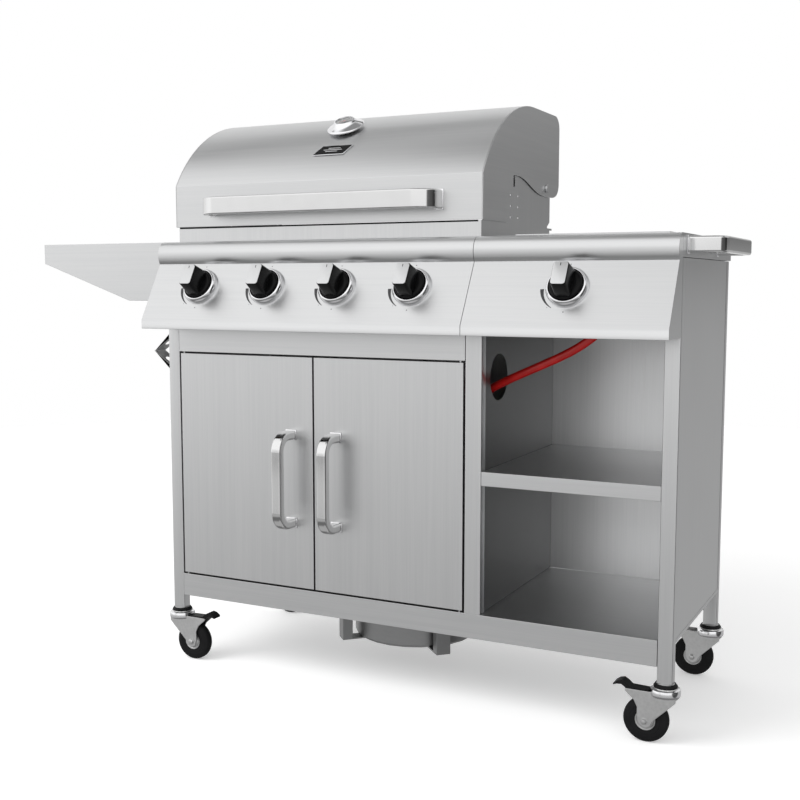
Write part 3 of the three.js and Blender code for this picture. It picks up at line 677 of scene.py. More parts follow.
@dataclass(frozen=True)
class Pressing:
    """How a node of the frame is dressed: its sheet edges rounded, in one finish."""

    finish: Finish
    slot: str = "brushed"
    edge: float = 0.45
    segments: int = 2
    facet: float = 30.0  # in degrees: flatter edges are facets of a curve and stay

    def dress(self, *nodes: str) -> list[bpy.types.Object]:
        """Replaces nodes of the frame by rounded copies."""
        return [self._copy(node) for node in nodes]

    def _copy(self, node: str) -> bpy.types.Object:
        """One rounded copy, which stands for its node.

        Args:
            node: The node's name.

        Returns:
            The copy.
        """
        cad = frame["nodes"][node]
        shape = bmesh.new()
        shape.from_mesh(cad.data)
        bmesh.ops.remove_doubles(shape, verts=shape.verts, dist=5e-6)
        bmesh.ops.dissolve_limit(
            shape, angle_limit=math.radians(0.6), verts=shape.verts, edges=shape.edges
        )
        mesh = bpy.data.meshes.new(node + "_pressed")
        shape.to_mesh(mesh)
        shape.free()
        mesh.polygons.foreach_set("use_smooth", [True] * len(mesh.polygons))
        copy = bpy.data.objects.new(node + "_pressed", mesh)
        bpy.context.scene.collection.objects.link(copy)
        mesh.materials.append(self.finish.material())
        rounding = copy.modifiers.new("rounded_edges", "BEVEL")
        rounding.width = self.edge * MM
        rounding.segments = self.segments
        rounding.limit_method = "ANGLE"
        rounding.angle_limit = math.radians(self.facet)
        rounding.use_clamp_overlap = False
        rounding.harden_normals = True
        flats = copy.modifiers.new("flat_faces_stay_flat", "WEIGHTED_NORMAL")
        flats.keep_sharp = True
        flats.weight = 100
        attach(copy, cad["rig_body"])
        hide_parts(node)
        return copy


def carried(finish: Finish, *nodes: str) -> None:
    """Gives nodes that keep their own shape a finish.

    Args:
        finish: Their finish.
        nodes: The nodes' names.
    """
    for node in nodes:
        materials = frame["nodes"][node].data.materials
        materials.clear()
        materials.append(finish.material())


def dome_head(radius: float, height: float) -> bmesh.types.BMesh:
    """A domed screw or rivet head that stands on z = 0, with a rounded rim.

    Args:
        radius: Its radius.
        height: Its height at the middle.

    Returns:
        The closed head.
    """
    steps = 5
    arc = [
        (radius * math.cos(turn), height * (0.25 + 0.75 * math.sin(turn)))
        for turn in (math.pi / 2 * step / steps for step in range(steps + 1))
    ]
    return turned([(0, 0), (radius, 0), *arc[:-1], (0, height)], 20)


# ---- Studio ---------------------------------------------------------------------------


@dataclass(frozen=True)
class Flag:
    """A black flag that stands off the grill and draws a dark line in polished metal."""

    aim: tuple[float, float, float]  # towards the left, the front and upwards
    centre: float
    half: float
    depth: float
    side: tuple[float, float, float] = (0.0, 0.0, 0.0)  # the half of the room it is in

    def shade(self, left: Wire, front: Wire, up: Wire) -> Wire:
        """How much of the light the flag stops in each direction.

        Args:
            left: How far a direction points to the left, from -1 to 1.
            front: How far it points to the front.
            up: How far it points upwards.

        Returns:
            0 where no light is stopped, 1 where all of it is.
        """
        along = left * self.aim[0] + front * self.aim[1] + up * self.aim[2]
        rise = along.eased(self.centre - self.half, self.centre - self.half * 0.4)
        fall = along.eased(self.centre + self.half * 0.4, self.centre + self.half)
        shade = rise * (1.0 - fall) * self.depth
        if any(self.side):
            where = left * self.side[0] + front * self.side[1] + up * self.side[2]
            shade = shade * where.eased(-0.05, 0.1)
        return shade


@dataclass
class Studio:
    """The camera, the pale floor and the soft light about the grill."""

    drawing: Drawing
    eye: tuple[float, float, float] = (1427, -1803, 766)  # on the drawing
    azimuth: float = 26.73  # degrees to the right of straight ahead
    droop: float = 5.955  # degrees below level
    lens: float = 50.57
    floor_radius: float = 4.2  # metres, as the lamp's size and place are
    lamp_at: tuple[float, float, float] = (-1.9, -2.3, 3.1)
    lamp_aim: tuple[float, float, float] = (0.0, 0.0, 0.5)
    lamp_size: float = 2.6
    lamp_power: float = 68.0
    flags: tuple[Flag, ...] = (
        Flag((0, 0, 1), 0.77, 0.06, 1.0, (0, -1, 0)),
        Flag((-1, 0, 0), 0.95, 0.1, 0.85),
        Flag((0, 0, 1), -0.15, 0.016, 0.5, (0, 1, 0)),
        Flag((0, 0, 1), -0.245, 0.02, 0.5, (0, 1, 0)),
        Flag((0, 0, 1), -0.62, 0.2, 0.6),
    )

    def build(self) -> None:
        """Sets the camera first, then the floor and the light."""
        self.camera()
        self.floor()
        self.sky()
        self.lamps()

    def camera(self) -> None:
        """A level-headed camera at the front right."""
        data = bpy.data.cameras.new("camera")
        data.lens = self.lens
        data.sensor_width = 36.0
        camera = bpy.data.objects.new("camera", data)
        camera.location = self.drawing.at(*self.eye)
        tilt = math.radians(90 - self.droop)
        camera.rotation_euler = (tilt, 0, math.radians(self.azimuth))
        bpy.context.scene.collection.objects.link(camera)
        bpy.context.scene.camera = camera
        bpy.context.scene.view_settings.view_transform = "Standard"

    def floor(self) -> None:
        """A pale round floor that doesn't show in the steel."""
        shape = bmesh.new()
        bmesh.ops.create_circle(shape, cap_ends=True, segments=96, radius=self.floor_radius)
        mesh = bpy.data.meshes.new("studio_floor")
        shape.to_mesh(mesh)
        shape.free()
        material = bpy.data.materials.new("studio_floor")
        material.use_nodes = True
        Shader(material.node_tree).surface({
            "Base Color": grey(0.86),
            "Roughness": 0.9,
            "Specular IOR Level": 0.0,
            "Emission Color": grey(1.0),
            "Emission Strength": 0.31,
        })
        mesh.materials.append(material)
        floor = bpy.data.objects.new("studio_floor", mesh)
        floor.visible_glossy = False
        bpy.context.scene.collection.objects.link(floor)

    def sky(self) -> None:
        """The studio's walls: bright in front and on the left, dim at the back right."""
        world = bpy.data.worlds.new("studio")
        world.use_nodes = True
        bpy.context.scene.world = world
        shader = Shader(world.node_tree)
        ray = shader.node("ShaderNodeTexCoord", output="Generated")
        parts = [shader.node("ShaderNodeSeparateXYZ", None, {0: ray}, axis) for axis in "XYZ"]
        left, front, up = (0.0 - parts[0], 0.0 - parts[1], parts[2])
        ahead = front.eased(-0.35, 0.6)
        # Level with the grill: a dim back wall, brighter on the left, and a bright front.
        level_back = 0.48 - up.eased(-0.04, 0.06) * 0.3 + left.eased(-0.15, 0.5) * 0.8
        level_front = 1.02 - left.eased(0.18, 0.45) * 0.11 + left.eased(0.5, 0.78) * 0.34
        level = level_back.towards(level_front, ahead)
        # Above it the walls blend into a paler ceiling, which is dark straight overhead.
        raised = (0.72 + left.eased(-0.4, 0.4) * 0.24).towards(1.3, ahead)
        rise = up.eased(0.02, 0.37).towards(up.eased(-0.04, 0.22), ahead)
        over = level.towards(raised, rise).towards(0.3, up.eased(0.83, 0.95))
        # Below it they blend into what a floor gives back.
        glow = over.towards(0.5, (0.0 - up).eased(0.03, 0.36))
        for flag in self.flags:
            glow = glow * (1.0 - flag.shade(left, front, up))
        seen = shader.node("ShaderNodeLightPath", output="Is Camera Ray")
        light = shader.node("ShaderNodeBackground", None, {"Color": grey(1.0), "Strength": glow})
        plain = shader.node("ShaderNodeBackground", None, {"Color": grey(1.0), "Strength": 1.0})
        mixed = shader.node("ShaderNodeMixShader", None, {0: seen, 1: light, 2: plain})
        shader.node("ShaderNodeOutputWorld", None, {"Surface": mixed})

    def lamps(self) -> None:
        """One broad soft lamp at the upper front left."""
        data = bpy.data.lights.new("soft_lamp", "AREA")
        data.shape = "DISK"
        data.size = self.lamp_size
        data.energy = self.lamp_power
        lamp = bpy.data.objects.new("soft_lamp", data)
        lamp.visible_glossy = False
        lamp.location = self.lamp_at
        aim = Vector(self.lamp_aim) - lamp.location
        lamp.rotation_euler = aim.to_track_quat("-Z", "Y").to_euler()
        bpy.context.scene.collection.objects.link(lamp)


# ---- Hose -----------------------------------------------------------------------------

# From the manifold's nipple through the divider's hole, down and along the cabinet's floor.
HOSE_ROUTE = [
    (914, 14, 722),
    (900, 19, 706),
    (883, 26, 689),
    (861, 34, 671),
    (834, 43, 654),
    (803, 52, 638.5),
    (770, 61, 624),
    (736, 69, 609.5),
    (705, 76, 596),
    (678, 82, 583.5),
    (658, 86, 572.5),
    (640, 88.5, 559),
    (626, 90, 541),
    (617.5, 92, 519),
    (614, 94.5, 494),
    (613, 99, 460),
    (612, 104, 410),
    (612, 109, 360),
    (612, 114, 310),
    (612, 118, 266),
    (612, 124.1, 235.4),
    (612, 141.4, 209.4),
    (612, 167.4, 192.1),
    (612, 198, 186),
    (612, 228, 186),
    (612, 256, 186),
]


@dataclass
class GasLine:
    """The red hose from the manifold to the regulator on the cabinet's floor."""

    drawing: Drawing
    diameter: float = 15.0
    ferrule: tuple[float, float] = (9.3, 22.0)  # radius and length

    def build(self) -> None:
        """Makes the hose, its two crimped ferrules and the dressed regulator."""
        points = [self.drawing.at(*point) for point in HOSE_ROUTE]
        regulator = Pressing(CAST_ZINC, "cast_zinc", 0.8, 3).dress("regulator")
        ferrules = [
            self._ferrule("hose_ferrule_manifold", points[0], points[1]),
            self._ferrule("hose_ferrule_regulator", points[-1], points[-2]),
        ]
        hose = self._hose(points)
        self._length(points)
        self.diameter * MM

    def _hose(self, points: Sequence[Vector]) -> bpy.types.Object:
        """The hose as one smooth curve through its route.

        Args:
            points: The route in the model, in metres.

        Returns:
            The hose.
        """
        data = bpy.data.curves.new("hose_line", "CURVE")
        data.dimensions = "3D"
        data.bevel_depth = self.diameter * MM / 2
        data.bevel_resolution = 7
        data.resolution_u = 8
        data.use_fill_caps = True
        spline = data.splines.new("BEZIER")
        spline.bezier_points.add(len(points) - 1)
        ends = self._extended(points)
        for knot, before, here, after in zip(spline.bezier_points, ends, points, ends[2:]):
            reach = (after - before) / 6
            knot.co = here
            knot.handle_left = here - reach
            knot.handle_right = here + reach
        hose = bpy.data.objects.new("hose_line", data)
        bpy.context.scene.collection.objects.link(hose)
        data.materials.append(HOSE_RUBBER.material())
        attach(hose, ROOT)
        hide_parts("gas_hose")
        return hose

    @staticmethod
    def _extended(points: Sequence[Vector]) -> list[Vector]:
        """The route with a point more at each end, which keeps its ends straight."""
        return [2 * points[0] - points[1], *points, 2 * points[-1] - points[-2]]

    @staticmethod
    def _length(points: Sequence[Vector]) -> float:
        """The length of the smooth line through the route's points.

        Args:
            points: The route in the model, in metres.

        Returns:
            Its length in metres.
        """
        ends = GasLine._extended(points)
        steps = 12
        total = 0.0
        for before, start, end, after in zip(ends, points, points[1:], ends[3:]):
            handle_a = start + (end - before) / 6
            handle_b = end - (after - start) / 6
            last = start
            for step in range(1, steps + 1):
                t = step / steps
                rest = 1 - t
                here = start * rest**3 + handle_a * (3 * rest**2 * t)
                here = here + handle_b * (3 * rest * t**2) + end * t**3
                total += (here - last).length
                last = here
        return total

    def _ferrule(self, name: str, end: Vector, inner: Vector) -> bpy.types.Object:
        """A crimped ferrule over the last stretch of the hose.

        Args:
            name: The piece's name.
            end: Where the hose ends.
            inner: The route's next point, which gives the direction.

        Returns:
            The ferrule.
        """
        radius, length = self.ferrule
        bore = self.diameter / 2 + 0.15
        rings = [(bore, 0.2), (radius - 0.6, 0.2), (radius, 1.2)]
        for crimp in (6, 11, 16):
            rings += [(radius, crimp - 1.4), (radius - 0.9, crimp - 0.6), (radius - 0.9, crimp + 0.6)]
            rings += [(radius, crimp + 1.4)]
        rings += [(radius, length - 1), (radius - 0.8, length), (bore, length), (bore, 0.2)]
        aim = (inner - end).to_track_quat("Z", "Y").to_matrix().to_4x4()
        seat = Matrix.Translation(end) @ aim @ Matrix.Scale(MM, 4)
        return Piece(ZINC, ROOT, "zinc").fit(name, turned(rings, 32), seat)


# ---- Cabinet --------------------------------------------------------------------------


@dataclass
class Cabinet:
    """The posts, walls, base, door header and bay shelf, with the back panel's screws."""

    drawing: Drawing
    width: float = CABINET_WIDTH
    depth: float = CABINET_DEPTH
    corner: float = 2.2  # radius of a post's corners
    screw: tuple[float, float] = (4.0, 1.9)  # radius and height of a head
    screw_inset: float = 40  # of each column from the cabinet's side
    screw_heights: tuple[float, ...] = (205, 420, 635)

    def build(self) -> None:
        """Dresses the sheet and adds the screws."""
        for node in (
            "leg_front_left", "leg_front_right", "leg_rear_left", "leg_rear_right", "divider_post",
        ):
            self._post(node)
        Pressing(BRUSHED_UPRIGHT, edge=0.6).dress("side_panel_left", "side_panel_right", "back_panel")
        # The divider wears a darkened tone: painted shade for the inside of the bay.
        Pressing(DIVIDER_SHADE_SHEET, edge=0.6).dress("divider_panel")
        Pressing(BRUSHED_ACROSS, edge=0.6).dress("base", "door_header", "bay_shelf")
        self._screws()

    def _post(self, node: str) -> None:
        """A rectangular tube with softly rolled corners, plugged at both ends.

        Args:
            node: The node that it stands for.
        """
        low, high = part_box(node)
        half = (high - low) / 2 / MM
        centre = (high + low) / 2
        tube = slab(oblong(half.x, half.y, self.corner), -half.z, half.z)
        seat = Matrix.Translation(centre) @ Matrix.Scale(MM, 4)
        post = Piece(BRUSHED_UPRIGHT, ROOT, "brushed").fit(f"{node}_tube", tube, seat)
        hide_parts(node)

    def _screws(self) -> None:
        """Screws through the back panel into the rear posts' flanges, in two columns."""
        radius, height = self.screw
        heads = []
        for x in (self.screw_inset, self.width - self.screw_inset):
            for z in self.screw_heights:
                head = dome_head(radius, height)
                seat = self.drawing.seat(x, self.depth - 2, z, -math.pi / 2)
                bmesh.ops.transform(head, matrix=seat, verts=head.verts)
                heads.append(head)
        Piece(ZINC, ROOT, "zinc").fit("back_screws", joined(*heads))


@dataclass
class Doors:
    """The two pan doors and their bent bar handles."""

    drawing: Drawing
    split: float = 336  # where the doors meet, in x
    offset: float = 49  # of a handle's middle from there
    ends: tuple[float, float] = (300, 487)  # a handle's lower and upper ends
    wide: float = 21  # a bar's size in x
    thick: float = 17  # a foot's size in z

    def build(self) -> None:
        """Dresses the doors and handles, and adds the collars at the handles' feet."""
        Pressing(BRUSHED_UPRIGHT, edge=0.7).dress("door_left", "door_right")
        bar = Pressing(POLISHED, "polished", 4.6, 5, 38.0)
        bar.dress("door_handle_left", "door_handle_right")
        low, high = self.ends
        for side, sign in (("left", -1), ("right", 1)):
            x = self.split + sign * self.offset
            for foot, z in (("low", low + self.thick / 2), ("high", high - self.thick / 2)):
                collar = brick((self.wide + 3, 1.6, self.thick + 3), (0, -0.85, 0), 0.7)
                fitted = Piece(CHROME, f"{side}_door", "polished")
                fitted.fit(f"handle_collar_{side}_{foot}", collar, self.drawing.seat(x, 0, z))


# ---- Control panel --------------------------------------------------------------------


@dataclass
class ControlPanel:
    """The slanted panel with its five knobs, bezels and printed marks."""

    drawing: Drawing
    knob_x: dict[str, float] = field(default_factory=lambda: dict(KNOB_X))
    lip: Point = (-82, 695)  # the face's lower edge, as (y, z)
    climb: Point = (59.5, 107.0)  # from there to its upper edge
    knob_rise: float = 0.59  # how far up the face the knobs sit
    bezel: float = 36.5  # outer radius
    grip: tuple[float, float, float] = (26, 42, 50)  # the face's width and length, the height

    def build(self) -> None:
        """Dresses the panel and its pipework, then fits each knob."""
        Pressing(BRUSHED_ACROSS, edge=0.6).dress("control_panel_main", "control_panel_side")
        Pressing(ZINC, "zinc", 0.5).dress("gas_manifold")
        carried(BRASS, *(f"valve_stem_{key}" for key in self.knob_x))
        tilt = math.atan2(self.climb[1], self.climb[0])
        y = self.lip[0] + self.climb[0] * self.knob_rise
        z = self.lip[1] + self.climb[1] * self.knob_rise
        for key, x in self.knob_x.items():
            seat = self.drawing.seat(x, y, z, tilt)
            self._bezel(key, seat)
            self._knob(key, seat)
            self._print(key, seat)

    def _bezel(self, key: str, seat: Matrix) -> None:
        """A domed chrome ring about a dark well.

        Args:
            key: Which knob it is for.
            seat: Where that knob meets the panel.
        """
        outer = self.bezel
        ring = [
            (outer, 0.3), (outer, 2.2), (outer - 0.5, 4.6), (outer - 1.6, 7.4),
            (outer - 3.1, 10.0), (outer - 4.6, 11.6), (outer - 5.8, 12.0), (outer - 6.7, 11.4),
            (outer - 7.0, 9.6), (outer - 7.0, 0.3), (outer, 0.3),
        ]
        Piece(CHROME, ROOT, "polished", 60).fit(f"bezel_{key}", turned(ring, 72), seat)
        floor = outer - 7.1
        well = [(4.5, 0.4), (floor, 0.4), (floor, 0.9), (4.5, 0.9), (4.5, 0.4)]
        Piece(MATT_BLACK, ROOT, "black").fit(f"bezel_well_{key}", turned(well, 40), seat)

    def _knob(self, key: str, seat: Matrix) -> None:
        """The round skirt, the tall block grip with its steel face, and the pointer.

        Args:
            key: Which knob.
            seat: Where it meets the panel.
        """
        body = f"knob_{key}"
        wide, long, top = self.grip
        skirt = turned([
            (0, 5.0), (26.6, 5.0), (28.0, 6.2), (28.2, 10.5), (27.8, 13.6), (26.6, 15.4),
            (24.6, 16.2), (18.0, 16.6), (0, 16.8),
        ], 64)
        plastic = Piece(GLOSS_BLACK, body, "black", 40)
        grip = plastic.fit(f"knob_grip_{key}", joined(skirt, self._block()), seat)
        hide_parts(body)
        plate = slab(oblong(wide / 2 - 0.8, long / 2 - 0.8, 4.6), top - 1.2, top, 0.5)
        Piece(BRUSHED_UPRIGHT, body, "brushed").fit(f"knob_face_{key}", plate, seat)
        high = long / 2 - 3.2
        mark = slab([(-0.7, high - 5), (0.7, high - 5), (0.7, high), (-0.7, high)], top, top + PRINT_THICK)
        Piece(PRINT_INK, body, "black").fit(f"knob_pointer_{key}", mark, seat)

    def _block(self) -> bmesh.types.BMesh:
        """The grip: as wide as the skirt at its foot and drawn in towards the face.

        Returns:
            The closed grip, without its steel face.
        """
        wide, long, top = self.grip
        low, high = 14.0, top - 1.1
        shape = slab(oblong(wide / 2, long / 2, 5.2), low, high)
        for corner in shape.verts:
            if corner.co.z < (low + high) / 2:
                corner.co.x *= 1.12
                corner.co.y *= 1.22
        bmesh.ops.bevel(
            shape, geom=[line for line in shape.edges if line.calc_face_angle(0) > 0.9],
            offset=0.9, affect="EDGES", segments=3, profile=0.5, material=-1,
        )
        return shape

    def _print(self, key: str, seat: Matrix) -> None:
        """The tapering crescent that shows the flame, and the marks at off and low.

        Args:
            key: Which knob it is for.
            seat: Where that knob meets the panel.
        """
        start, end = math.radians(184), math.radians(240)
        near, far = self.bezel + 3.0, self.bezel + 9.6
        shape = bmesh.new()
        first = Vector((math.cos(start), math.sin(start), 0))
        line = chain(shape, [first * near, first * far])
        bmesh.ops.spin(
            shape, geom=line, cent=(0, 0, 0), axis=(0, 0, 1), angle=end - start, steps=18
        )
        for corner in shape.verts:
            turn = math.atan2(corner.co.y, corner.co.x) % math.tau
            full = 1 - (turn - start) / (end - start)
            side = 1 if corner.co.length > (near + far) / 2 else -1
            reach = (near + far) / 2 + side * (far - near) / 2 * (0.12 + 0.88 * full)
            corner.co = corner.co.normalized() * reach
        self._ink(shape, f"flame_mark_{key}", seat)
        dots = bmesh.new()
        for turn, reach, half in ((92, 43.5, 0.9), (270, 44.5, 1.0), (232, 46.5, 0.6)):
            angle = math.radians(turn)
            spot = Matrix.Translation((reach * math.cos(angle), reach * math.sin(angle), 0))
            bmesh.ops.create_circle(dots, cap_ends=True, segments=16, radius=half, matrix=spot)
        self._ink(dots, f"dial_dots_{key}", seat)

    @staticmethod
    def _ink(shape: bmesh.types.BMesh, name: str, seat: Matrix) -> None:
        """Gives flat print a hair's thickness and lays it on the panel.

        Args:
            shape: The flat print, which is used up.
            name: The piece's name.
            seat: Where the knob that it is for meets the panel.
        """
        bmesh.ops.recalc_face_normals(shape, faces=shape.faces)
        rise = bmesh.ops.extrude_face_region(shape, geom=list(shape.faces))["geom"]
        tops = [item for item in rise if isinstance(item, bmesh.types.BMVert)]
        bmesh.ops.translate(shape, verts=tops, vec=(0, 0, PRINT_THICK))
        bmesh.ops.translate(shape, verts=shape.verts, vec=(0, 0, 0.04))
        bmesh.ops.recalc_face_normals(shape, faces=shape.faces)
        Piece(PRINT_INK, ROOT, "black").fit(name, shape, seat)


# ---- Cookbox --------------------------------------------------------------------------


@dataclass
class Cookbox:
    """The firebox with its burners, flame tamers, grates, rack and grease tray."""

    drawing: Drawing
    burner_x: tuple[float, ...] = tuple(x for key, x in KNOB_X.items() if key != "side")
    tamer: tuple[float, float, float] = (52, 798, 822)  # half width, low edge, ridge
    tamer_ends: tuple[float, float] = (62, 378)  # front and rear, in y
    flange: float = 6  # how far a tamer's edges turn down
    sheet: float = 1.2  # a tamer's thickness
    seam: tuple[float, float, float] = (3, 300, 5)
    seam_at: tuple[float, float, float] = (12.6, 200, 752)  # its x is from the burner's axis
    rim: float = 876.4  # the top of the firebox's front
    # The next sizes are of the black strip that paints the shade in the gap at the lid's seam.
    shade_strip_size: tuple[float, float, float] = (14, 2.0, 3.0)  # inset at each end, depth, height

    def build(self) -> None:
        """Dresses the frame's pieces and adds what stands over the burners."""
        Pressing(BRUSHED_UPRIGHT, edge=0.4).dress("firebox")
        Pressing(BURNER_STEEL, edge=0.8).dress("main_burners")
        Pressing(ENAMELLED_IRON, "iron", 1.4, 3).dress("cooking_grate_left", "cooking_grate_right")
        Pressing(CHROME, "chrome", 0.9, 3).dress("warming_rack")
        Pressing(ZINC, "zinc", 0.5).dress("grease_tray")
        self._paint_seam_shade()
        for number, x in enumerate(self.burner_x, 1):
            self._tamer(number, x)
            self._ports(number, x)

    def _paint_seam_shade(self) -> None:
        """A black strip along the firebox's rim, behind the lid's front edge: painted shade that draws the
        dark gap where the lid meets the firebox.
        """
        low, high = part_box("firebox")
        inset, deep, tall = self.shade_strip_size
        left, right = low.x / MM + inset, high.x / MM - inset
        middle = Vector(((left + right) / 2, low.y / MM, self.rim))
        strip = brick((right - left, deep, tall), middle + Vector((0, 0.4, -1.6)), 0.5)
        Piece(MATT_BLACK, ROOT, "black").fit("lid_seam_shadow_strip", strip, Matrix.Scale(MM, 4))

    def _tamer(self, number: int, x: float) -> None:
        """A tent of enamelled sheet over one burner.

        Args:
            number: Which burner, from the left.
            x: The burner's axis.
        """
        half, low, ridge = self.tamer
        front, rear = self.tamer_ends
        shape = bmesh.new()
        line = chain(shape, [
            Vector((-half, front, low - self.flange)), Vector((-half, front, low)),
            Vector((0, front, ridge)),
            Vector((half, front, low)), Vector((half, front, low - self.flange)),
        ])
        sweep = bmesh.ops.extrude_edge_only(
            shape, edges=[item for item in line if isinstance(item, bmesh.types.BMEdge)]
        )["geom"]
        ends = [item for item in sweep if isinstance(item, bmesh.types.BMVert)]
        bmesh.ops.translate(shape, verts=ends, vec=(0, rear - front, 0))
        bmesh.ops.recalc_face_normals(shape, faces=shape.faces)
        bmesh.ops.solidify(shape, geom=list(shape.faces), thickness=self.sheet)
        bmesh.ops.recalc_face_normals(shape, faces=shape.faces)
        seat = self.drawing.seat(x, 0, 0)
        Piece(ENAMELLED_IRON, ROOT, "iron").fit(f"flame_tamer_{number}", shape, seat)

    def _ports(self, number: int, x: float) -> None:
        """The rolled seam along a burner's side, as a plain rounded bar.

        Args:
            number: Which burner, from the left.
            x: The burner's axis.
        """
        seam = brick(self.seam, self.seam_at, 1.0)
        seat = self.drawing.seat(x, 0, 0)
        Piece(BURNER_STEEL, ROOT, "brushed").fit(f"burner_seam_{number}", seam, seat)


# ---- Lid ------------------------------------------------------------------------------


@dataclass
class Lid:
    """The lid's skin and ends, its bar handle, the gauge and the blank badge."""

    drawing: Drawing
    arc_y: float = 295  # the skin's axis, in y and z
    arc_z: float = 808
    arc: float = 295  # the skin's outer radius
    gauge_at: tuple[float, float] = (327, 149)  # in x and y, as the next is
    badge_at: tuple[float, float] = (333, 86)
    feet: tuple[float, float] = (83, 578)  # the handle's feet, in x
    front: Point = (41, 914)  # where they meet the lid, in y and z

    def build(self) -> None:
        """Dresses the lid and fits what is mounted on it."""
        Pressing(BRUSHED_ACROSS, edge=0.5).dress("lid_skin")
        Pressing(BRUSHED_BACK, edge=0.5).dress("lid_end_left", "lid_end_right")
        Pressing(POLISHED, "polished", 3.2, 4, 38.0).dress("lid_handle")
        self._gauge()
        self._badge()
        self._collars()

    def _seat(self, x: float, y: float) -> Matrix:
        """A place on the lid's arc, with +Z straight out of it.

        Args:
            x: Its place across the drawing.
            y: Its place towards the back.

        Returns:
            The matrix that carries a piece there.
        """
        run = self.arc_y - y
        rise = math.sqrt(self.arc**2 - run**2)
        return self.drawing.seat(x, y, self.arc_z + rise, math.atan2(run, rise))

    def _gauge(self) -> None:
        """The flared chrome housing, the dial with its scale, the needle and the glass."""
        seat = self._seat(*self.gauge_at)
        housing = turned([
            (0, 2.1), (24.0, 2.1), (26.0, 3.4), (35.2, 3.4), (37.0, 4.2), (37.4, 5.4),
            (36.6, 6.8), (33.6, 8.2), (29.4, 10.0), (25.6, 12.2), (22.4, 15.0), (20.8, 17.4),
            (19.9, 18.7), (18.6, 19.2), (17.4, 18.9), (17.0, 18.0), (17.0, 16.0), (0, 16.0),
        ], 80)
        body = Piece(CHROME, "lid", "chrome", 50).fit("gauge_housing", housing, seat)
        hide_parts("temperature_gauge")
        dial = turned([(0, 16.1), (16.9, 16.1), (16.9, 16.5), (0, 16.5)], 48)
        Piece(DIAL_ENAMEL, "lid", "black").fit("gauge_dial", dial, seat)
        self._scale(seat)
        needle = slab([(-0.6, -4), (0.6, -4), (0.2, 12.4), (-0.2, 12.4)], 16.9, 17.2)
        bmesh.ops.rotate(
            needle, verts=needle.verts, cent=(0, 0, 0), matrix=Matrix.Rotation(2.3, 3, "Z")
        )
        hub = turned([(0, 16.6), (1.9, 16.6), (1.9, 17.3), (1.2, 17.5), (0, 17.5)], 20)
        Piece(NEEDLE_RED, "lid", "black").fit("gauge_needle", joined(needle, hub), seat)
        glass = turned([(0, 17.7), (16.9, 17.7), (16.9, 18.2), (10, 18.5), (0, 18.6)], 48)
        Piece(GLASS, "lid", "chrome").fit("gauge_glass", glass, seat)

    @staticmethod
    def _scale(seat: Matrix) -> None:
        """The dial's ticks, longer at every fifth.

        Args:
            seat: Where the gauge sits.
        """
        ticks = []
        count = 31
        for number in range(count):
            long = number % 5 == 0
            inner = 10.8 if long else 12.6
            half = 0.34 if long else 0.17
            tick = slab([(-half, inner), (half, inner), (half, 15.2), (-half, 15.2)], 16.5, 16.7)
            turn = math.radians(140 - 280 * number / (count - 1))
            bmesh.ops.rotate(
                tick, verts=tick.verts, cent=(0, 0, 0), matrix=Matrix.Rotation(turn, 3, "Z")
            )
            ticks.append(tick)
        Piece(PALE_INK, "lid", "black").fit("gauge_scale", joined(*ticks), seat)

    def _badge(self) -> None:
        """A blank slanted badge: a bright rim round a dark field with three plain bars."""
        seat = self._seat(*self.badge_at)
        half, tall, slant = 33.5, 13.5, 6.5

        def leaning(inset: float) -> list[Point]:
            """The badge's outline, moved inwards.

            Args:
                inset: How far inwards.

            Returns:
                Its four corners, anticlockwise.
            """
            a, b = half - inset * 1.25, tall - inset
            shift = slant * b / tall
            return [(-a - shift, -b), (a - shift, -b), (a + shift, b), (-a + shift, b)]

        Piece(CHROME, "lid", "chrome").fit("badge_rim", slab(leaning(0), 0.35, 2.2, 0.6), seat)
        Piece(GLOSS_BLACK, "lid", "black").fit("badge_field", slab(leaning(1.5), 2.1, 2.5), seat)
        bars = []
        for row, reach in ((-4.5, 13), (0, 20), (4.5, 13)):
            lean = slant * row / tall
            bars.append(slab([
                (lean - reach, row - 0.7), (lean + reach, row - 0.7),
                (lean + reach + 0.7, row + 0.7), (lean - reach + 0.7, row + 0.7),
            ], 2.45, 2.7))
        Piece(CHROME, "lid", "chrome").fit("badge_bars", joined(*bars), seat)

    def _collars(self) -> None:
        """The pads between the handle's feet and the lid's front."""
        for side, x in zip(("left", "right"), self.feet):
            pad = brick((15, 1.7, 37), (0, -0.9, 0), 0.7)
            seat = self.drawing.seat(x, *self.front)
            Piece(CHROME, "lid", "polished").fit(f"lid_handle_pad_{side}", pad, seat)


# ---- Shelves and side burner ----------------------------------------------------------


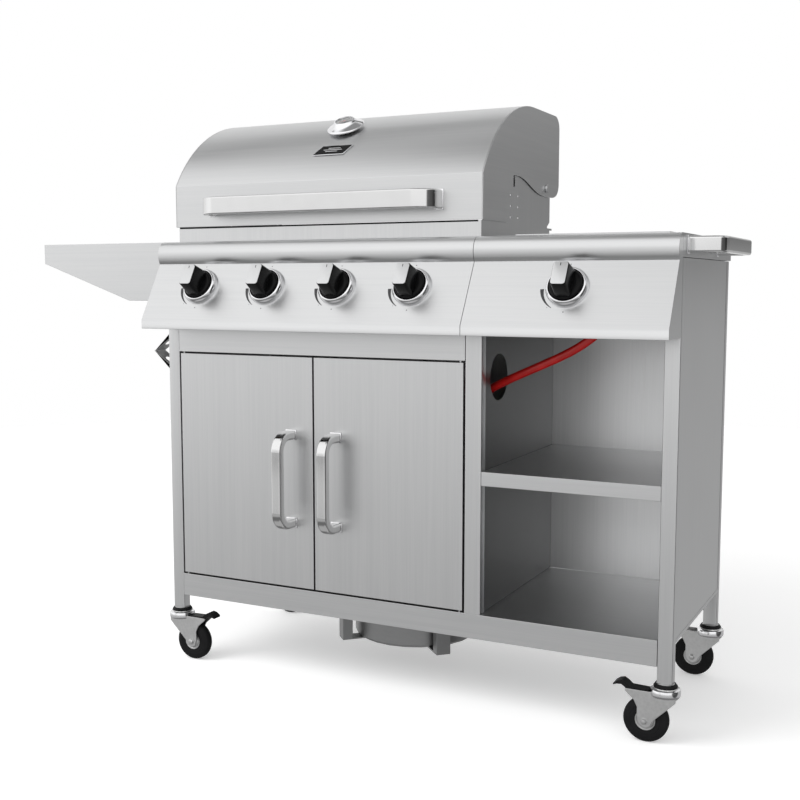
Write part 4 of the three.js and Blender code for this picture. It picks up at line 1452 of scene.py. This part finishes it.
@dataclass
class Shelves:
    """The left shelf and tool hook, the side table, its burner, cover and towel bar."""

    drawing: Drawing
    burner_at: tuple[float, float] = (848, 202)
    ring: tuple[float, float, float, float] = (37, 43, 812, 822)  # two radii, two heights
    ports: int = 24
    bar_y: tuple[float, float] = (33.5, 268.5)  # the towel bar's feet
    bar_z: float = 827.5

    def build(self) -> None:
        """Dresses the shelves and adds the burner's ring and the towel bar's collars."""
        Pressing(BRUSHED_ACROSS, edge=0.6).dress("side_shelf_left", "side_table")
        Pressing(BRUSHED_ACROSS, edge=0.9, segments=3).dress("side_burner_cover")
        Pressing(ENAMELLED_IRON, edge=0.5).dress("side_burner")
        Pressing(ZINC, "brushed", 0.5).dress("tool_hook")
        Pressing(POLISHED, "polished", 4.2, 4, 38.0).dress("towel_bar")
        self._ring()
        for place, y in zip(("front", "rear"), self.bar_y):
            collar = brick((1.8, 16, 30), (1.0, 0, 0), 0.7)
            seat = self.drawing.seat(CABINET_WIDTH, y, self.bar_z)
            Piece(CHROME, ROOT, "polished").fit(f"towel_collar_{place}", collar, seat)

    def _ring(self) -> None:
        """The side burner's brass ring, with its ports standing out round it."""
        seat = self.drawing.seat(*self.burner_at, 0)
        near, far, low, high = self.ring
        ring = turned([(near, low), (far, low), (far, high), (near, high), (near, low)], 48)
        Piece(BRASS, ROOT, "brass").fit("side_burner_ring", ring, seat)
        teeth = []
        for step in range(self.ports):
            tooth = brick((3.2, 2.6, 6), (far + 1, 0, (low + high) / 2), 0.5)
            bmesh.ops.rotate(
                tooth, verts=tooth.verts, cent=(0, 0, 0),
                matrix=Matrix.Rotation(math.tau * step / self.ports, 3, "Z"),
            )
            teeth.append(tooth)
        Piece(BRASS, ROOT, "brass").fit("side_burner_ports", joined(*teeth), seat)


@dataclass
class BottlePan:
    """The pan that hangs under the base and the straps that carry it."""

    def build(self) -> None:
        """Dresses the pan and its straps in a sheet whose low tone is painted shade from the base above.
        """
        Pressing(PAN_SHADE_STEEL, edge=0.5, facet=35.0).dress("bottle_pan", "bottle_strap")


# ---- Casters --------------------------------------------------------------------------


@dataclass
class Casters:
    """The four swivel casters: black tyres on zinc hubs in pressed forks."""

    drawing: Drawing
    radius: float = 38.5  # a wheel's, to its tread
    half: float = 9.5  # half a wheel's width
    trail: float = 31  # of the axle behind the swivel's axis
    width: float = CABINET_WIDTH
    depth: float = CABINET_DEPTH
    post: tuple[float, float] = (26, 20)  # a post's width and depth

    def build(self) -> None:
        """Fits a caster under each post."""
        left, right = self.post[0] / 2, self.width - self.post[0] / 2
        front, rear = self.post[1] / 2, self.depth - self.post[1] / 2
        places = {
            "front_left": (left, front, 0.0),
            "front_right": (right, front, math.pi),
            "rear_left": (left, rear, 0.0),
            "rear_right": (right, rear, math.pi),
        }
        for key, (x, y, turn) in places.items():
            seat = self.drawing.seat(x, y, 0, 0, turn)
            axle = seat @ Matrix.Translation((self.trail, 0, self.radius))
            axle = axle @ Matrix.Rotation(-math.pi / 2, 4, "X")
            self._wheel(key, axle)
            self._head(key, seat, axle)
            LOG.info("caster %s", key)
        Pressing(MATT_BLACK, "black", 0.9, 3).dress(
            "brake_pedal_front_left", "brake_pedal_front_right"
        )

    def _wheel(self, key: str, axle: Matrix) -> None:
        """The tyre with its rounded tread, and the dished hub.

        Args:
            key: Which caster.
            axle: The wheel's middle, with +Z along its axle.
        """
        r, h = self.radius, self.half
        tyre = turned([
            (17.2, -h + 1.2), (19.6, -h + 0.2), (25.0, -h), (25.6, -h + 0.5), (26.4, -h + 0.5),
            (27.0, -h), (33.6, -h + 0.4), (36.6, -h + 2.2), (r - 0.25, -h + 5.0), (r, -2.0),
            (r, 2.0), (r - 0.25, h - 5.0), (36.6, h - 2.2), (33.6, h - 0.4), (27.0, h),
            (26.4, h - 0.5), (25.6, h - 0.5), (25.0, h), (19.6, h - 0.2), (17.2, h - 1.2),
            (17.2, -h + 1.2),
        ], 72)
        rubber = Piece(TYRE_RUBBER, f"wheel_{key}", "tyre", 40).fit(f"tyre_{key}", tyre, axle)
        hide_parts(f"wheel_{key}")
        hub = turned([
            (4.3, -h - 0.9), (8.5, -h - 0.9), (10.0, -h + 0.4), (14.2, -h + 1.4),
            (15.8, -h + 0.4), (17.1, -h + 0.4), (17.1, h - 0.4), (15.8, h - 0.4),
            (14.2, h - 1.4), (10.0, h - 0.4), (8.5, h + 0.9), (4.3, h + 0.9), (4.3, -h - 0.9),
        ], 56)
        Piece(ZINC, f"wheel_{key}", "zinc", 30).fit(f"hub_{key}", hub, axle)

    def _head(self, key: str, seat: Matrix, axle: Matrix) -> None:
        """The fork, the bright bearing race, the black collar and the axle's nuts.

        Args:
            key: Which caster.
            seat: The floor under its swivel's axis, turned as it trails.
            axle: The wheel's middle, with +Z along its axle.
        """
        body = f"caster_{key}"
        Pressing(ZINC, "zinc", 0.7, 3).dress(f"caster_fork_{key}")
        race = turned([
            (15, 84.5), (24.6, 84.5), (25.0, 86.0), (25.2, 89.5), (25.1, 93.5), (24.4, 96.0),
            (20.8, 97.6), (15, 98.2), (15, 84.5),
        ], 56)
        Piece(CHROME, body, "zinc", 40).fit(f"bearing_race_{key}", race, seat)
        collar = turned([
            (8, 98.3), (19.2, 98.3), (20.0, 99.2), (20.0, 101.4), (19.0, 102.4), (17.0, 105.2),
            (8, 105.2), (8, 98.3),
        ], 40)
        Piece(MATT_BLACK, body, "black").fit(f"swivel_collar_{key}", collar, seat)
        nuts = []
        for side in (-1, 1):
            nut = turned([
                (0, 14.3), (6.6, 14.3), (6.6, 15.3), (5.4, 15.4), (5.0, 17.0), (3.6, 18.4),
                (0, 18.9),
            ], 6 if side > 0 else 20)
            if side < 0:
                bmesh.ops.rotate(
                    nut, verts=nut.verts, cent=(0, 0, 0), matrix=Matrix.Rotation(math.pi, 3, "X")
                )
            nuts.append(nut)
        Piece(ZINC, body, "zinc", 30).fit(f"axle_nuts_{key}", joined(*nuts), axle)


# ---- The whole grill ------------------------------------------------------------------


def main() -> None:
    """Builds the studio, the hose and then each sub-assembly."""
    logging.basicConfig(level=logging.INFO, format="%(message)s")
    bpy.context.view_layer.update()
    drawing = Drawing.of_frame()
    sections = (
        Studio(drawing),
        GasLine(drawing),
        Cabinet(drawing),
        Doors(drawing),
        ControlPanel(drawing),
        Cookbox(drawing),
        Lid(drawing),
        Shelves(drawing),
        BottlePan(),
        Casters(drawing),
    )
    for section in sections:
        section.build()
        LOG.info("built %s", type(section).__name__)


if __name__ == "__main__":
    main()
